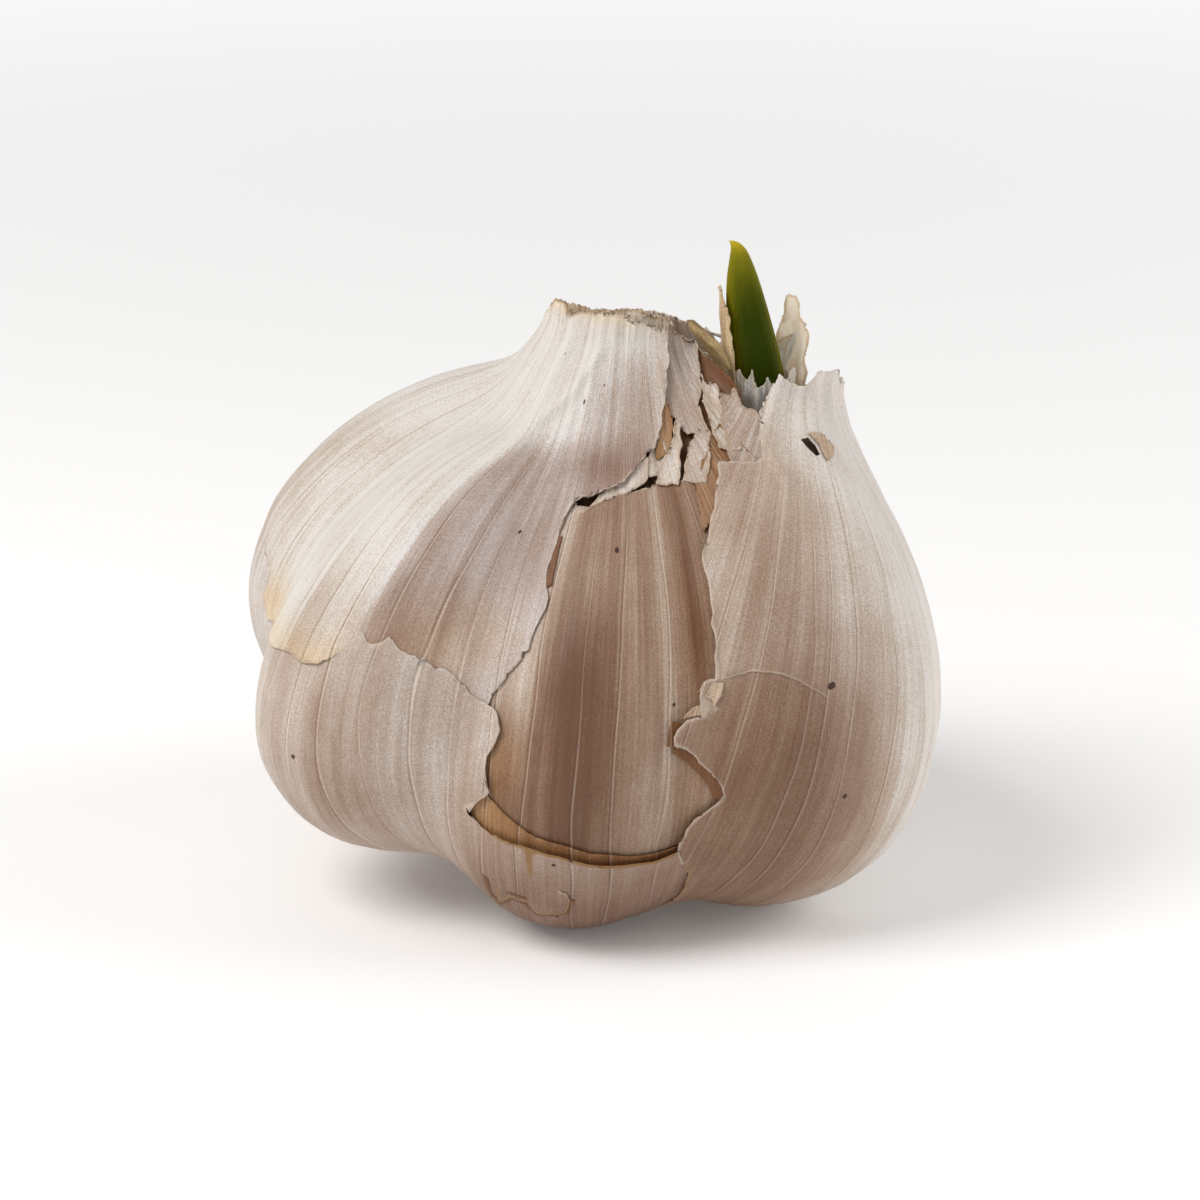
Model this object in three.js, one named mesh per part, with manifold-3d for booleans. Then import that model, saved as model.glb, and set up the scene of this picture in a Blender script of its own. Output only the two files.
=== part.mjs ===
// A garlic bulb that has begun to sprout, standing on its trimmed root plate.
// Millimetres, +Z up, origin at the middle of the flat underside of the root plate.
// The front of the bulb faces -Y. An azimuth is counted in degrees from the front, positive towards +X.
//
// Seven cloves stand round a dried stem on the root plate. Papery leaf skins wrap them: a thin inner skin all round,
// and over it four outer skins, torn where they meet. One clove has pushed a green shoot out of its tip.
import * as THREE from "three";
import { mergeVertices } from "three/addons/utils/BufferGeometryUtils.js";
import Module from "manifold-3d";

const wasm = await Module();
wasm.setup();

// Driving dimensions.

// Each clove is a pear-shaped ellipsoid: its middle is `out` from the axis and `up` from the ground.
// Its half sizes are radial, across and tall, and its top tucks in towards the axis by `tuck` degrees.
const CLOVES = [
  { name: "clove_front_right", azimuth: 53, out: 16.5, up: 21.5, radial: 14.5, across: 15.5, tall: 21.5, tuck: 16 },
  { name: "clove_front", azimuth: -6, out: 15.5, up: 18, radial: 12, across: 11.5, tall: 18, tuck: 10 },
  { name: "clove_front_left", azimuth: -62, out: 19, up: 22.5, radial: 13, across: 13, tall: 18, tuck: 14 },
  { name: "clove_left", azimuth: -114, out: 19.5, up: 27, radial: 14.5, across: 14, tall: 18, tuck: 26 },
  { name: "clove_back_left", azimuth: -162, out: 15.5, up: 20.5, radial: 13, across: 12, tall: 20.5, tuck: 14 },
  { name: "clove_back", azimuth: 156, out: 15.5, up: 19.6, radial: 12.5, across: 11, tall: 19.8, tuck: 12 },
  { name: "clove_right", azimuth: 108, out: 14.5, up: 19, radial: 12.5, across: 12, tall: 18.5, tuck: 18 },
];
const SPROUTING = "clove_front_right";
const PEAR = 0.2; // how much fatter a clove is at its foot than at its middle
const PEAR_REACH = 1.2; // in half heights: past this a clove gets no fatter and no thinner
const BLEND = 2; // how far the skin bridges the valleys between cloves
const LEAN = { shift: 6, height: 50 }; // the bulb leans this far towards +X at this height

// Two tapering columns that the skins draw up to: the bulb's neck, and the tip of the sprouting clove.
const NECK = { x: -3, y: 1, floor: 3, foot: 26, footRadius: 20.5, top: 49.5, topRadius: 7 };
const TIP = { x: 11.2, y: -3, floor: 14, foot: 30, footRadius: 10, top: 45, topRadius: 5.4 };
const COLUMN_ROUNDING = 1.5; // the height of the blunt foot cut off each column's rounded end
const COLUMN_SLOPE = 0.8; // keeps the depth below a column's tapering side close to a true distance

// Places on the bulb are found by rays. A run of 0 looks down from the middle of the bulb, a run of 1 looks up.
const RAY = { foot: 14, rise: 37, riseBunching: 1.6, lowTilt: -84, sweep: 104, sweepEasing: 0.62 };
const RAY_REACH = 56;
const RAY_STEPS = 70;

// Depths below the outside of the bulb.
const OUTER_SKIN = { from: 0, to: 0.7 };
const INNER_SKIN = { from: 1.25, to: 1.95 };
const SHARD_THICKNESS = 0.6;
const CLOVE_DEPTH = 2.75;
const CLOVE_GAP = 0.4; // between neighbouring cloves
const VEIN = 0.25; // how far each vein stands out of an outer skin
const VEIN_STEP = 5; // degrees between a vein and the furrow beside it

const PLATE_CLEARANCE = { radius: 9, height: 5 };
const STEM = { foot: 4.9, radius: 2.4, flareFrom: 38, top: 49.4, topRadius: 4.3, clearance: 0.35 };
const CLOVE_TOP = 43;
const SHEATH = { x: 14.8, y: -3, foot: 44, footRadius: 3.3, top: 54, topRadius: 4.1, thickness: 0.6 };
const SHOOT_CLEARANCE = 0.3; // between the shoot and the hole it grows out of

// Small helpers.

const radians = THREE.MathUtils.degToRad;
const mix = THREE.MathUtils.lerp;
const clamp = THREE.MathUtils.clamp;

function seededRandom(seed) {
  let state = seed;
  return () => {
    state = (state * 16807) % 2147483647;
    return state / 2147483647;
  };
}

function smoothMinimum(values, softness) {
  const least = Math.min(...values);
  const sum = values.reduce((total, value) => total + Math.exp((least - value) / softness), 0);
  return least - softness * Math.log(sum);
}

// The form of the bulb: a field that is negative inside and about a distance in millimetres.

const leanAt = (z) => LEAN.shift * (clamp(z, 0, 80) / LEAN.height) ** 1.5;

for (const clove of CLOVES) {
  const azimuth = radians(clove.azimuth);
  const tuck = radians(clove.tuck);
  const outward = new THREE.Vector3(Math.sin(azimuth), -Math.cos(azimuth), 0);
  const upward = new THREE.Vector3(0, 0, 1);
  clove.middle = outward.clone().multiplyScalar(clove.out).setZ(clove.up);
  clove.radialAxis = outward.clone().multiplyScalar(Math.cos(tuck)).addScaledVector(upward, Math.sin(tuck));
  clove.acrossAxis = new THREE.Vector3(Math.cos(azimuth), Math.sin(azimuth), 0);
  clove.tallAxis = upward.clone().multiplyScalar(Math.cos(tuck)).addScaledVector(outward, -Math.sin(tuck));
}

function cloveField(clove, point) {
  const offset = point.clone().sub(clove.middle);
  const height = offset.dot(clove.tallAxis) / clove.tall;
  const girth = 1 - PEAR * clamp(height, -PEAR_REACH, PEAR_REACH);
  const scaled = [
    offset.dot(clove.radialAxis) / girth / clove.radial,
    offset.dot(clove.acrossAxis) / girth / clove.across,
    height,
  ];
  const length = Math.hypot(...scaled);
  const slope = Math.hypot(scaled[0] / clove.radial, scaled[1] / clove.across, scaled[2] / clove.tall);
  return (length * (length - 1)) / Math.max(slope, 1e-9);
}

function columnField(column, wanders, point) {
  const rise = clamp((point.z - column.foot) / (column.top - column.foot), 0, 1);
  const along = wanders ? rise : 1;
  const distance = Math.hypot(point.x - column.x * along, point.y - column.y * along);
  const fall = clamp((column.foot - point.z) / (column.foot - column.floor), 0, 1);
  const radius = mix(column.footRadius, column.topRadius, rise ** 0.9) * Math.sqrt(1 - fall * fall);
  return Math.max((distance - radius) * COLUMN_SLOPE, column.floor + COLUMN_ROUNDING - point.z);
}

const neckField = (point) => columnField(NECK, true, point);
const tipField = (point) => columnField(TIP, false, point);

function unlean(point) {
  return point.clone().setX(point.x - leanAt(point.z));
}

function bulbField(point) {
  const upright = unlean(point);
  const parts = CLOVES.map((clove) => cloveField(clove, upright));
  return smoothMinimum([...parts, neckField(upright), tipField(upright)], BLEND);
}

// The furthest point along a ray from `start` where `field` is still negative.
function lastCrossing(field, start, direction) {
  const step = RAY_REACH / RAY_STEPS;
  let inside = 0;
  for (let i = 1; i <= RAY_STEPS; i++) {
    if (field(start.clone().addScaledVector(direction, i * step)) < 0) inside = i * step;
  }
  return crossing(field, start, direction, inside, inside + step);
}

// The first point along a ray from inside `field` where it stops being negative.
function firstCrossing(field, start, direction) {
  const step = 0.5;
  let inside = 0;
  while (field(start.clone().addScaledVector(direction, inside + step)) < 0) inside += step;
  return crossing(field, start, direction, inside, inside + step);
}

// Halves the stretch between a distance inside `field` and one outside it down to a point on its surface.
function crossing(field, start, direction, inside, outside) {
  for (let i = 0; i < 18; i++) {
    const middle = (inside + outside) / 2;
    if (field(start.clone().addScaledVector(direction, middle)) < 0) inside = middle;
    else outside = middle;
  }
  return start.clone().addScaledVector(direction, inside);
}

// A place on the bulb by azimuth and run. The run goes from 0 at the root plate, under the bulb and up its side,
// to 1 at the top of the neck. `depth` is how far the place lies below the outside.
function onBulb(azimuth, run, depth) {
  const height = RAY.foot + RAY.rise * run ** RAY.riseBunching;
  const tilt = radians(RAY.lowTilt + RAY.sweep * run ** RAY.sweepEasing);
  const turn = radians(azimuth);
  const start = new THREE.Vector3(leanAt(height), 0, height);
  const direction = new THREE.Vector3(
    Math.sin(turn) * Math.cos(tilt),
    -Math.cos(turn) * Math.cos(tilt),
    Math.sin(tilt),
  );
  const point = lastCrossing((p) => bulbField(p) + depth, start, direction);
  return point.setZ(Math.max(point.z, depth, 0)); // the bulb is flat where it rests
}

// A place on the flaring sheath round the shoot, by angle and height.
function onSheath(angle, height, depth) {
  const rise = (height - SHEATH.foot) / (SHEATH.top - SHEATH.foot);
  const radius = mix(SHEATH.footRadius, SHEATH.topRadius, rise) - depth;
  const turn = radians(angle);
  return new THREE.Vector3(SHEATH.x + radius * Math.sin(turn), SHEATH.y - radius * Math.cos(turn), height);
}

// Geometry from points.

function closedGeometry(points, triangles) {
  const geometry = new THREE.BufferGeometry();
  geometry.setAttribute("position", new THREE.Float32BufferAttribute(points.flatMap((p) => p.toArray()), 3));
  let volume = 0;
  for (const [a, b, c] of triangles) {
    volume += points[a].dot(points[b].clone().cross(points[c]));
  }
  geometry.setIndex(triangles.flatMap(([a, b, c]) => (volume < 0 ? [a, c, b] : [a, b, c])));
  geometry.computeVertexNormals();
  return geometry;
}

// A point at a share of the way along a polyline, by its length.
function alongLine(line, share) {
  const spans = line.slice(1).map((p, i) => Math.hypot(p[0] - line[i][0], (p[1] - line[i][1]) * 150));
  let left = share * spans.reduce((a, b) => a + b, 0);
  for (let i = 0; i < spans.length; i++) {
    if (left <= spans[i] || i === spans.length - 1) {
      const part = spans[i] ? clamp(left / spans[i], 0, 1) : 0;
      return [mix(line[i][0], line[i + 1][0], part), mix(line[i][1], line[i + 1][1], part)];
    }
    left -= spans[i];
  }
}

// A point inside four edge lines that meet at their corners.
function insideEdges({ low, high, left, right }, across, up) {
  const [l, h] = [alongLine(low, across), alongLine(high, across)];
  const [a, b] = [alongLine(left, up), alongLine(right, up)];
  return [0, 1].map(
    (k) =>
      mix(l[k], h[k], up) +
      mix(a[k], b[k], across) -
      mix(mix(low[0][k], low.at(-1)[k], across), mix(high[0][k], high.at(-1)[k], across), up),
  );
}

// A thin skin: a grid of places at two depths, closed round its rim. Every second column is a vein, raised by `vein`.
function skinGeometry(place, spot, columns, rows, depths, closed, vein) {
  const points = [];
  const width = closed ? columns : columns + 1;
  for (const [layer, depth] of [depths.from, depths.to].entries()) {
    for (let row = 0; row <= rows; row++) {
      for (let column = 0; column < width; column++) {
        const [u, v] = spot(column / columns, row / rows);
        const raised = layer === 0 && column % 2 === 1 ? vein : 0;
        points.push(place(u, v, depth - raised));
      }
    }
  }
  const index = (layer, row, column) => (layer * (rows + 1) + row) * width + (column % width);
  const triangles = [];
  const quad = (a, b, c, d) => triangles.push([a, b, c], [a, c, d]);
  for (let row = 0; row < rows; row++) {
    for (let column = 0; column < columns; column++) {
      const next = column + 1;
      quad(index(0, row, column), index(0, row, next), index(0, row + 1, next), index(0, row + 1, column));
      quad(index(1, row, column), index(1, row + 1, column), index(1, row + 1, next), index(1, row, next));
    }
  }
  for (let column = 0; column < columns; column++) {
    const next = column + 1;
    quad(index(0, 0, column), index(1, 0, column), index(1, 0, next), index(0, 0, next));
    quad(index(0, rows, column), index(0, rows, next), index(1, rows, next), index(1, rows, column));
  }
  for (let row = 0; row < rows && !closed; row++) {
    quad(index(0, row, 0), index(0, row + 1, 0), index(1, row + 1, 0), index(1, row, 0));
    quad(index(0, row, columns), index(1, row, columns), index(1, row + 1, columns), index(0, row + 1, columns));
  }
  return closedGeometry(points, triangles);
}

// A ring skin between two lines that give a run, or a height, at each angle round it.
function ringSpot(low, high, start) {
  const valueAt = (line, angle) => {
    const i = Math.max(1, line.findIndex((p) => p[0] >= angle));
    const [a, b] = [line[i - 1], line[i]];
    return mix(a[1], b[1], (angle - a[0]) / (b[0] - a[0]));
  };
  return (across, up) => {
    const angle = start + 360 * across;
    return [angle, mix(valueAt(low, angle), valueAt(high, angle), up)];
  };
}

// A solid of rings along a spine, closed at both ends. Each ring is { middle, radius, squash, turn }.
function spineGeometry(rings, sides) {
  const points = [];
  const triangles = [];
  for (const { middle, radius, squash = 1, lift = () => 0 } of rings) {
    for (let i = 0; i < sides; i++) {
      const angle = (2 * Math.PI * i) / sides;
      points.push(
        new THREE.Vector3(
          middle.x + radius * Math.cos(angle),
          middle.y + radius * squash * Math.sin(angle),
          middle.z + lift(i),
        ),
      );
    }
  }
  const last = rings.length - 1;
  for (let ring = 0; ring < last; ring++) {
    for (let i = 0; i < sides; i++) {
      const [a, b] = [ring * sides + i, ring * sides + ((i + 1) % sides)];
      triangles.push([a, b, b + sides], [a, b + sides, a + sides]);
    }
  }
  points.push(rings[0].middle.clone(), rings[last].middle.clone());
  for (let i = 0; i < sides; i++) {
    const next = (i + 1) % sides;
    triangles.push([points.length - 2, next, i]);
    triangles.push([points.length - 1, last * sides + i, last * sides + next]);
  }
  return closedGeometry(points, triangles);
}

// Booleans: a closed geometry as a manifold-3d solid, and back.

function toSolid(geometry) {
  const bare = geometry.clone();
  bare.deleteAttribute("normal");
  bare.deleteAttribute("uv");
  const merged = mergeVertices(bare, 1e-4);
  return new wasm.Manifold(
    new wasm.Mesh({
      numProp: 3,
      vertProperties: merged.attributes.position.array,
      triVerts: new Uint32Array(merged.index.array),
    }),
  );
}

function fromSolid(solid) {
  const { vertProperties, triVerts } = solid.getMesh();
  const geometry = new THREE.BufferGeometry();
  geometry.setAttribute("position", new THREE.BufferAttribute(new Float32Array(vertProperties), 3));
  geometry.setIndex([...triVerts]);
  geometry.computeVertexNormals();
  return geometry;
}

// Materials.

const skinWhite = new THREE.MeshStandardMaterial({ color: "#d9cdc3", roughness: 0.6 });
const skinBrown = new THREE.MeshStandardMaterial({ color: "#a58570", roughness: 0.55 });
const cloveFlesh = new THREE.MeshStandardMaterial({ color: "#d8c5ad", roughness: 0.5 });
const rootCork = new THREE.MeshStandardMaterial({ color: "#b29a72", roughness: 0.9 });
const stemStraw = new THREE.MeshStandardMaterial({ color: "#b08b4f", roughness: 0.85 });
const sproutGreen = new THREE.MeshStandardMaterial({ color: "#4c5c12", roughness: 0.4 });

// Sub-parts.

const stemAxis = (z) => {
  const rise = clamp((z - NECK.foot) / (NECK.top - NECK.foot), 0, 1);
  return new THREE.Vector3(leanAt(z) + NECK.x * rise, NECK.y * rise, z);
};
const stemRadius = (z) =>
  mix(STEM.radius, STEM.topRadius, clamp((z - STEM.flareFrom) / (STEM.top - STEM.flareFrom), 0, 1));

// A clove fills its own share of the bulb, clear of the skins, the stem, the root plate and its neighbours.
function cloveGeometry(clove) {
  const field = (point) => {
    const upright = unlean(point);
    const fields = CLOVES.map((other) => cloveField(other, upright));
    const own = fields[CLOVES.indexOf(clove)];
    const nearest = Math.min(...fields.filter((value, i) => CLOVES[i] !== clove));
    const body = clove.name === SPROUTING ? smoothMinimum([own, tipField(upright)], BLEND) : own;
    const fromStem = Math.hypot(point.x - stemAxis(point.z).x, point.y - stemAxis(point.z).y);
    const fromPlate = Math.min(PLATE_CLEARANCE.height - point.z, PLATE_CLEARANCE.radius - Math.hypot(point.x, point.y));
    return Math.max(
      body + CLOVE_DEPTH,
      (own - nearest + CLOVE_GAP) / 2,
      stemRadius(point.z) + STEM.clearance - fromStem,
      fromPlate,
      CLOVE_DEPTH - point.z,
      point.z - CLOVE_TOP,
    );
  };
  const middle = clove.middle.clone();
  middle.x += leanAt(middle.z);
  const sphere = mergeVertices(bareIcosphere(4), 1e-4);
  const points = [];
  const position = sphere.attributes.position;
  const towards = new THREE.Vector3();
  for (let i = 0; i < position.count; i++) {
    towards.fromBufferAttribute(position, i).normalize();
    points.push(firstCrossing(field, middle, towards));
  }
  const index = sphere.index.array;
  const triangles = [];
  for (let i = 0; i < index.length; i += 3) triangles.push([index[i], index[i + 1], index[i + 2]]);
  const geometry = closedGeometry(points, triangles);
  if (clove.name !== SPROUTING) return geometry;
  return fromSolid(toSolid(geometry).subtract(toSolid(sproutGeometry(SHOOT_CLEARANCE))));
}

function bareIcosphere(detail) {
  const sphere = new THREE.IcosahedronGeometry(1, detail);
  sphere.deleteAttribute("normal");
  sphere.deleteAttribute("uv");
  return sphere;
}

// The root plate: a corky disc, trimmed flat below, with the stubs of the cut roots round it.
function rootPlateGeometry() {
  const profile = [
    [0, 0],
    [5, 0],
    [6.4, 0.9],
    [7.8, 2.2],
    [8, 3.2],
    [7, 4.1],
    [0, 4.5],
  ].map(([radius, height]) => new THREE.Vector2(radius, height));
  let solid = toSolid(new THREE.LatheGeometry(profile, 24).rotateX(Math.PI / 2));
  const random = seededRandom(7);
  const stubs = 16;
  for (let i = 0; i < stubs; i++) {
    const stub = new THREE.CylinderGeometry(0.45, 0.55, 2.6, 5).rotateX(Math.PI / 2);
    const ring = i % 2 ? 7.2 : 5.9;
    const turn = (2 * Math.PI * (i + 0.5 * random())) / stubs;
    const foot = i % 2 ? 0.9 : 0.35;
    stub.rotateY(0.25 * (random() - 0.5));
    stub.translate(ring * Math.cos(turn), ring * Math.sin(turn), foot + 1.3 + 0.4 * random());
    solid = solid.add(toSolid(stub));
  }
  return fromSolid(solid);
}

// The dried stem, up between the cloves to the cut neck, where it swells and is torn off unevenly.
function stemGeometry() {
  const random = seededRandom(11);
  const sides = 14;
  const tear = Array.from({ length: sides }, () => 1.6 * random());
  const rings = [STEM.foot, 14, 24, 32, STEM.flareFrom, 43, 46.5].map((z) => ({
    middle: stemAxis(z),
    radius: stemRadius(z),
  }));
  rings.push({ middle: stemAxis(STEM.top), radius: STEM.topRadius, lift: (i) => tear[i] });
  rings.push({ middle: stemAxis(STEM.top), radius: 0.72 * STEM.topRadius, lift: (i) => 0.4 + 0.6 * tear[(i + 5) % sides] });
  rings.push({ middle: stemAxis(STEM.top - 0.6), radius: 0.4 * STEM.topRadius });
  return spineGeometry(rings, sides);
}

// The shoot: a fat blade folded to a point, which hooks over at its end. It starts inside its clove.
function sproutGeometry(clearance = 0) {
  const stations = [
    // x, y, z, radius
    [15.2, -4, 30.3, 1.5],
    [15.5, -3.4, 37, 1.8],
    [15.4, -3, 42, 2],
    [14.7, -3, 45.5, 2.15],
    [14.2, -3, 48, 2.1],
    [13.8, -3, 50, 1.95],
    [13.4, -3, 52.3, 1.68],
    [13.1, -3, 54.3, 1.34],
    [12.9, -3, 55.8, 0.96],
    [12.7, -3.05, 56.8, 0.64],
    [12.3, -3.1, 57.4, 0.34],
    [11.9, -3.15, 57.5, 0.12],
  ];
  const rings = stations.map(([x, y, z, radius], i) => ({
    middle: new THREE.Vector3(x, y, i === 0 ? z - clearance : z),
    radius: radius + clearance,
    squash: 0.82,
  }));
  return spineGeometry(rings, 12);
}

// Outlines on the bulb are [azimuth, run]. Each torn edge is shared, with a small gap, by the two skins that meet there.
const TORN_LOWER_EDGE = [
  [-257, 0.48],
  [-220, 0.5],
  [-180, 0.52],
  [-140, 0.55],
  [-110, 0.565],
  [-92, 0.585],
  [-63, 0.585],
  [-54, 0.59],
  [-50, 0.624],
  [-44, 0.609],
  [-36, 0.58],
  [-30, 0.552],
  [-23, 0.536],
];
// Where the right skin meets the lower and back skins behind.
const BACK_EDGE = [
  [98, 0.132],
  [94, 0.2],
  [100, 0.3],
  [96, 0.4],
  [103, 0.48],
  [98, 0.57],
  [104, 0.66],
  [100, 0.75],
  [98, 0.83],
];
// Where the left skin meets the back skin.
const LEFT_EDGE = [
  [-140, 0.55],
  [-144, 0.62],
  [-139, 0.69],
  [-143, 0.77],
  [-138, 0.85],
  [-140, 0.95],
];
const EDGE_GAP = 0.012; // in run
const SIDE_GAP = 1.5; // in degrees
const SKIN_TOP = 0.955;
const OUTER_FOOT = 0.132;
const INNER_FOOT = 0.142;
const raisedEdge = (line) => line.map(([azimuth, run]) => [azimuth, run + EDGE_GAP]);

const OUTER_SKINS = [
  {
    name: "skin_lower",
    rows: 11,
    low: [
      [-262, OUTER_FOOT],
      [12, OUTER_FOOT],
    ],
    high: [
      ...TORN_LOWER_EDGE,
      [-22, 0.524],
      [-24, 0.489],
      [-22, 0.467],
      [-28, 0.445],
      [-26, 0.425],
      [-15, 0.423],
      [-6, 0.408],
      [3, 0.398],
      [12, 0.403],
    ],
    left: BACK_EDGE.slice(0, 5).map(([azimuth, run]) => [azimuth - 360, run]),
    right: [
      [12, OUTER_FOOT],
      [10.5, 0.307],
      [15, 0.369],
      [12, 0.403],
    ],
  },
  {
    name: "skin_left",
    rows: 16,
    low: [...raisedEdge(TORN_LOWER_EDGE.filter(([azimuth]) => azimuth > -145)), [-20, 0.56]],
    high: [
      [-140, 0.95],
      [-112, SKIN_TOP],
      [-104, 0.985],
      [-92, 0.99],
      [-86, SKIN_TOP],
      [-30, 0.945],
      [10, 0.935],
    ],
    left: [[-140, 0.55 + EDGE_GAP], ...LEFT_EDGE.slice(1)],
    right: [
      [-20, 0.56],
      [-20, 0.6],
      [-18, 0.646],
      [-21, 0.7],
      [-20, 0.735],
      [-4, 0.769],
      [4, 0.8],
      [8, 0.84],
      [11, 0.877],
      [10, 0.935],
    ],
  },
  {
    name: "skin_back",
    rows: 9,
    low: [
      [-257 + SIDE_GAP, 0.48 + EDGE_GAP],
      [-220, 0.5 + EDGE_GAP],
      [-180, 0.52 + EDGE_GAP],
      [-140 - SIDE_GAP, 0.55 + EDGE_GAP],
    ],
    high: [
      [-262 + SIDE_GAP, 0.83],
      [-248, 0.9],
      [-236, 0.945],
      [-215, 0.93],
      [-180, SKIN_TOP],
      [-140 - SIDE_GAP, 0.95],
    ],
    left: [
      [-257 + SIDE_GAP, 0.48 + EDGE_GAP],
      ...BACK_EDGE.slice(5).map(([azimuth, run]) => [azimuth - 360 + SIDE_GAP, run]),
    ],
    right: [
      [-140 - SIDE_GAP, 0.55 + EDGE_GAP],
      ...LEFT_EDGE.slice(1).map(([azimuth, run]) => [azimuth - SIDE_GAP, run]),
    ],
  },
  {
    name: "skin_right",
    rows: 14,
    low: [
      [12 + SIDE_GAP, OUTER_FOOT],
      [98 - SIDE_GAP, OUTER_FOOT],
    ],
    high: [
      [28.5, 0.8],
      [34, 0.845],
      [46, 0.86],
      [60, 0.87],
      [70, 0.865],
      [76, 0.9],
      [82, 0.9],
      [86, 0.86],
      [98 - SIDE_GAP, 0.83],
    ],
    left: [
      [12 + SIDE_GAP, OUTER_FOOT],
      [12, 0.307],
      [16.5, 0.369],
      [13.5, 0.41],
      [19.5, 0.462],
      [13, 0.51],
      [13.5, 0.538],
      [19.5, 0.575],
      [19.5, 0.693],
      [25.5, 0.757],
      [28.5, 0.8],
    ],
    right: BACK_EDGE.map(([azimuth, run]) => [azimuth - SIDE_GAP, run]),
  },
];

function outerSkinGeometry(skin) {
  const width = skin.low.at(-1)[0] - skin.low[0][0];
  const columns = 2 * Math.round(width / VEIN_STEP / 2);
  const spot = (across, up) => insideEdges(skin, across, up);
  return skinGeometry(onBulb, spot, columns, skin.rows, OUTER_SKIN, false, VEIN);
}

// The inner skin closes round all the cloves. It is torn open in front below the neck.
function innerSkinGeometry() {
  const low = [
    [-180, INNER_FOOT],
    [180, INNER_FOOT],
  ];
  const high = [
    [-180, 0.945],
    [-55, 0.94],
    [-25, 0.735],
    [-18, 0.722],
    [-12, 0.742],
    [2, 0.752],
    [16, 0.762],
    [20, 0.8],
    [25, 0.905],
    [35, 0.915],
    [45, 0.85],
    [54, 0.84],
    [78, 0.83],
    [97, 0.825],
    [112, 0.92],
    [180, 0.945],
  ];
  return skinGeometry(onBulb, ringSpot(low, high, -180), 60, 18, INNER_SKIN, true, 0);
}

// The clove's own sheath round the shoot, torn low in front and standing up in a tongue on each side.
function sproutSheathGeometry() {
  const low = [
    [-180, 44],
    [180, 44],
  ];
  const high = [
    [-180, 45.5],
    [-128, 46],
    [-104, 54],
    [-92, 52.6],
    [-72, 47],
    [-45, 45.6],
    [0, 46.2],
    [40, 45.2],
    [78, 46.5],
    [96, 51.6],
    [112, 52.8],
    [130, 51.2],
    [146, 46],
    [180, 45.5],
  ];
  return skinGeometry(onSheath, ringSpot(low, high, -180), 30, 3, { from: 0, to: SHEATH.thickness }, true, 0);
}

// Dry shards of older leaves: one closes the neck in front, four show in the torn opening below it.
const SHARDS = [
  { name: "neck_shard", azimuths: [-22, 18], tips: [0.94, 0.945, 0.93], foot: [0.785, 0.872], depth: 1.25 },
  { name: "shard_1", azimuths: [13, 20], tips: [0.9, 0.91, 0.885], foot: [0.785, 0.785], depth: 2.3 },
  { name: "shard_2", azimuths: [6, 11.5], tips: [0.86, 0.885, 0.87], foot: [0.79, 0.79], depth: 2.4 },
  { name: "shard_3", azimuths: [10, 17], tips: [0.83, 0.875, 0.84], foot: [0.79, 0.79], depth: 3.4 },
  { name: "shard_4", azimuths: [-12, -2], tips: [0.79, 0.8, 0.785], foot: [0.757, 0.757], depth: 2.4 },
];

function shardGeometry({ azimuths: [from, to], tips, foot, depth }) {
  const middle = (from + to) / 2;
  const edges = {
    low: [
      [from, foot[0]],
      [to, foot[1]],
    ],
    high: [
      [from, tips[0]],
      [middle, tips[1]],
      [to, tips[2]],
    ],
    left: [
      [from, foot[0]],
      [from, tips[0]],
    ],
    right: [
      [to, foot[1]],
      [to, tips[2]],
    ],
  };
  const spot = (across, up) => insideEdges(edges, across, up);
  return skinGeometry(onBulb, spot, 2 * Math.ceil((to - from) / 6), 5, { from: depth, to: depth + SHARD_THICKNESS }, false, 0);
}

// A stiff strand of the old flower stalk, fallen over the rim of the neck towards the shoot.
function strandGeometry() {
  const stations = [
    // x, y, z, radius
    [8.6, -4.9, 50.9, 0.35],
    [9.3, -5.1, 50, 0.7],
    [10.2, -5.3, 49, 0.8],
    [11, -5.4, 47.9, 0.75],
    [11.6, -5.4, 46.8, 0.5],
  ];
  return spineGeometry(stations.map(([x, y, z, radius]) => ({ middle: new THREE.Vector3(x, y, z), radius })), 8);
}

// Assembly.

const bulb = new THREE.Group();

function addPart(name, geometry, material) {
  const mesh = new THREE.Mesh(geometry, material);
  mesh.name = name;
  bulb.add(mesh);
}

addPart("root_plate", rootPlateGeometry(), rootCork);
addPart("stem", stemGeometry(), stemStraw);
for (const clove of CLOVES) addPart(clove.name, cloveGeometry(clove), cloveFlesh);
addPart("inner_skin", innerSkinGeometry(), skinBrown);
for (const skin of OUTER_SKINS) addPart(skin.name, outerSkinGeometry(skin), skinWhite);
for (const shard of SHARDS) addPart(shard.name, shardGeometry(shard), skinBrown);
addPart("sprout_sheath", sproutSheathGeometry(), skinWhite);
addPart("sprout", sproutGeometry(), sproutGreen);
addPart("dried_strand", strandGeometry(), stemStraw);

export default bulb;
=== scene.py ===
import math
from functools import reduce

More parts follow.
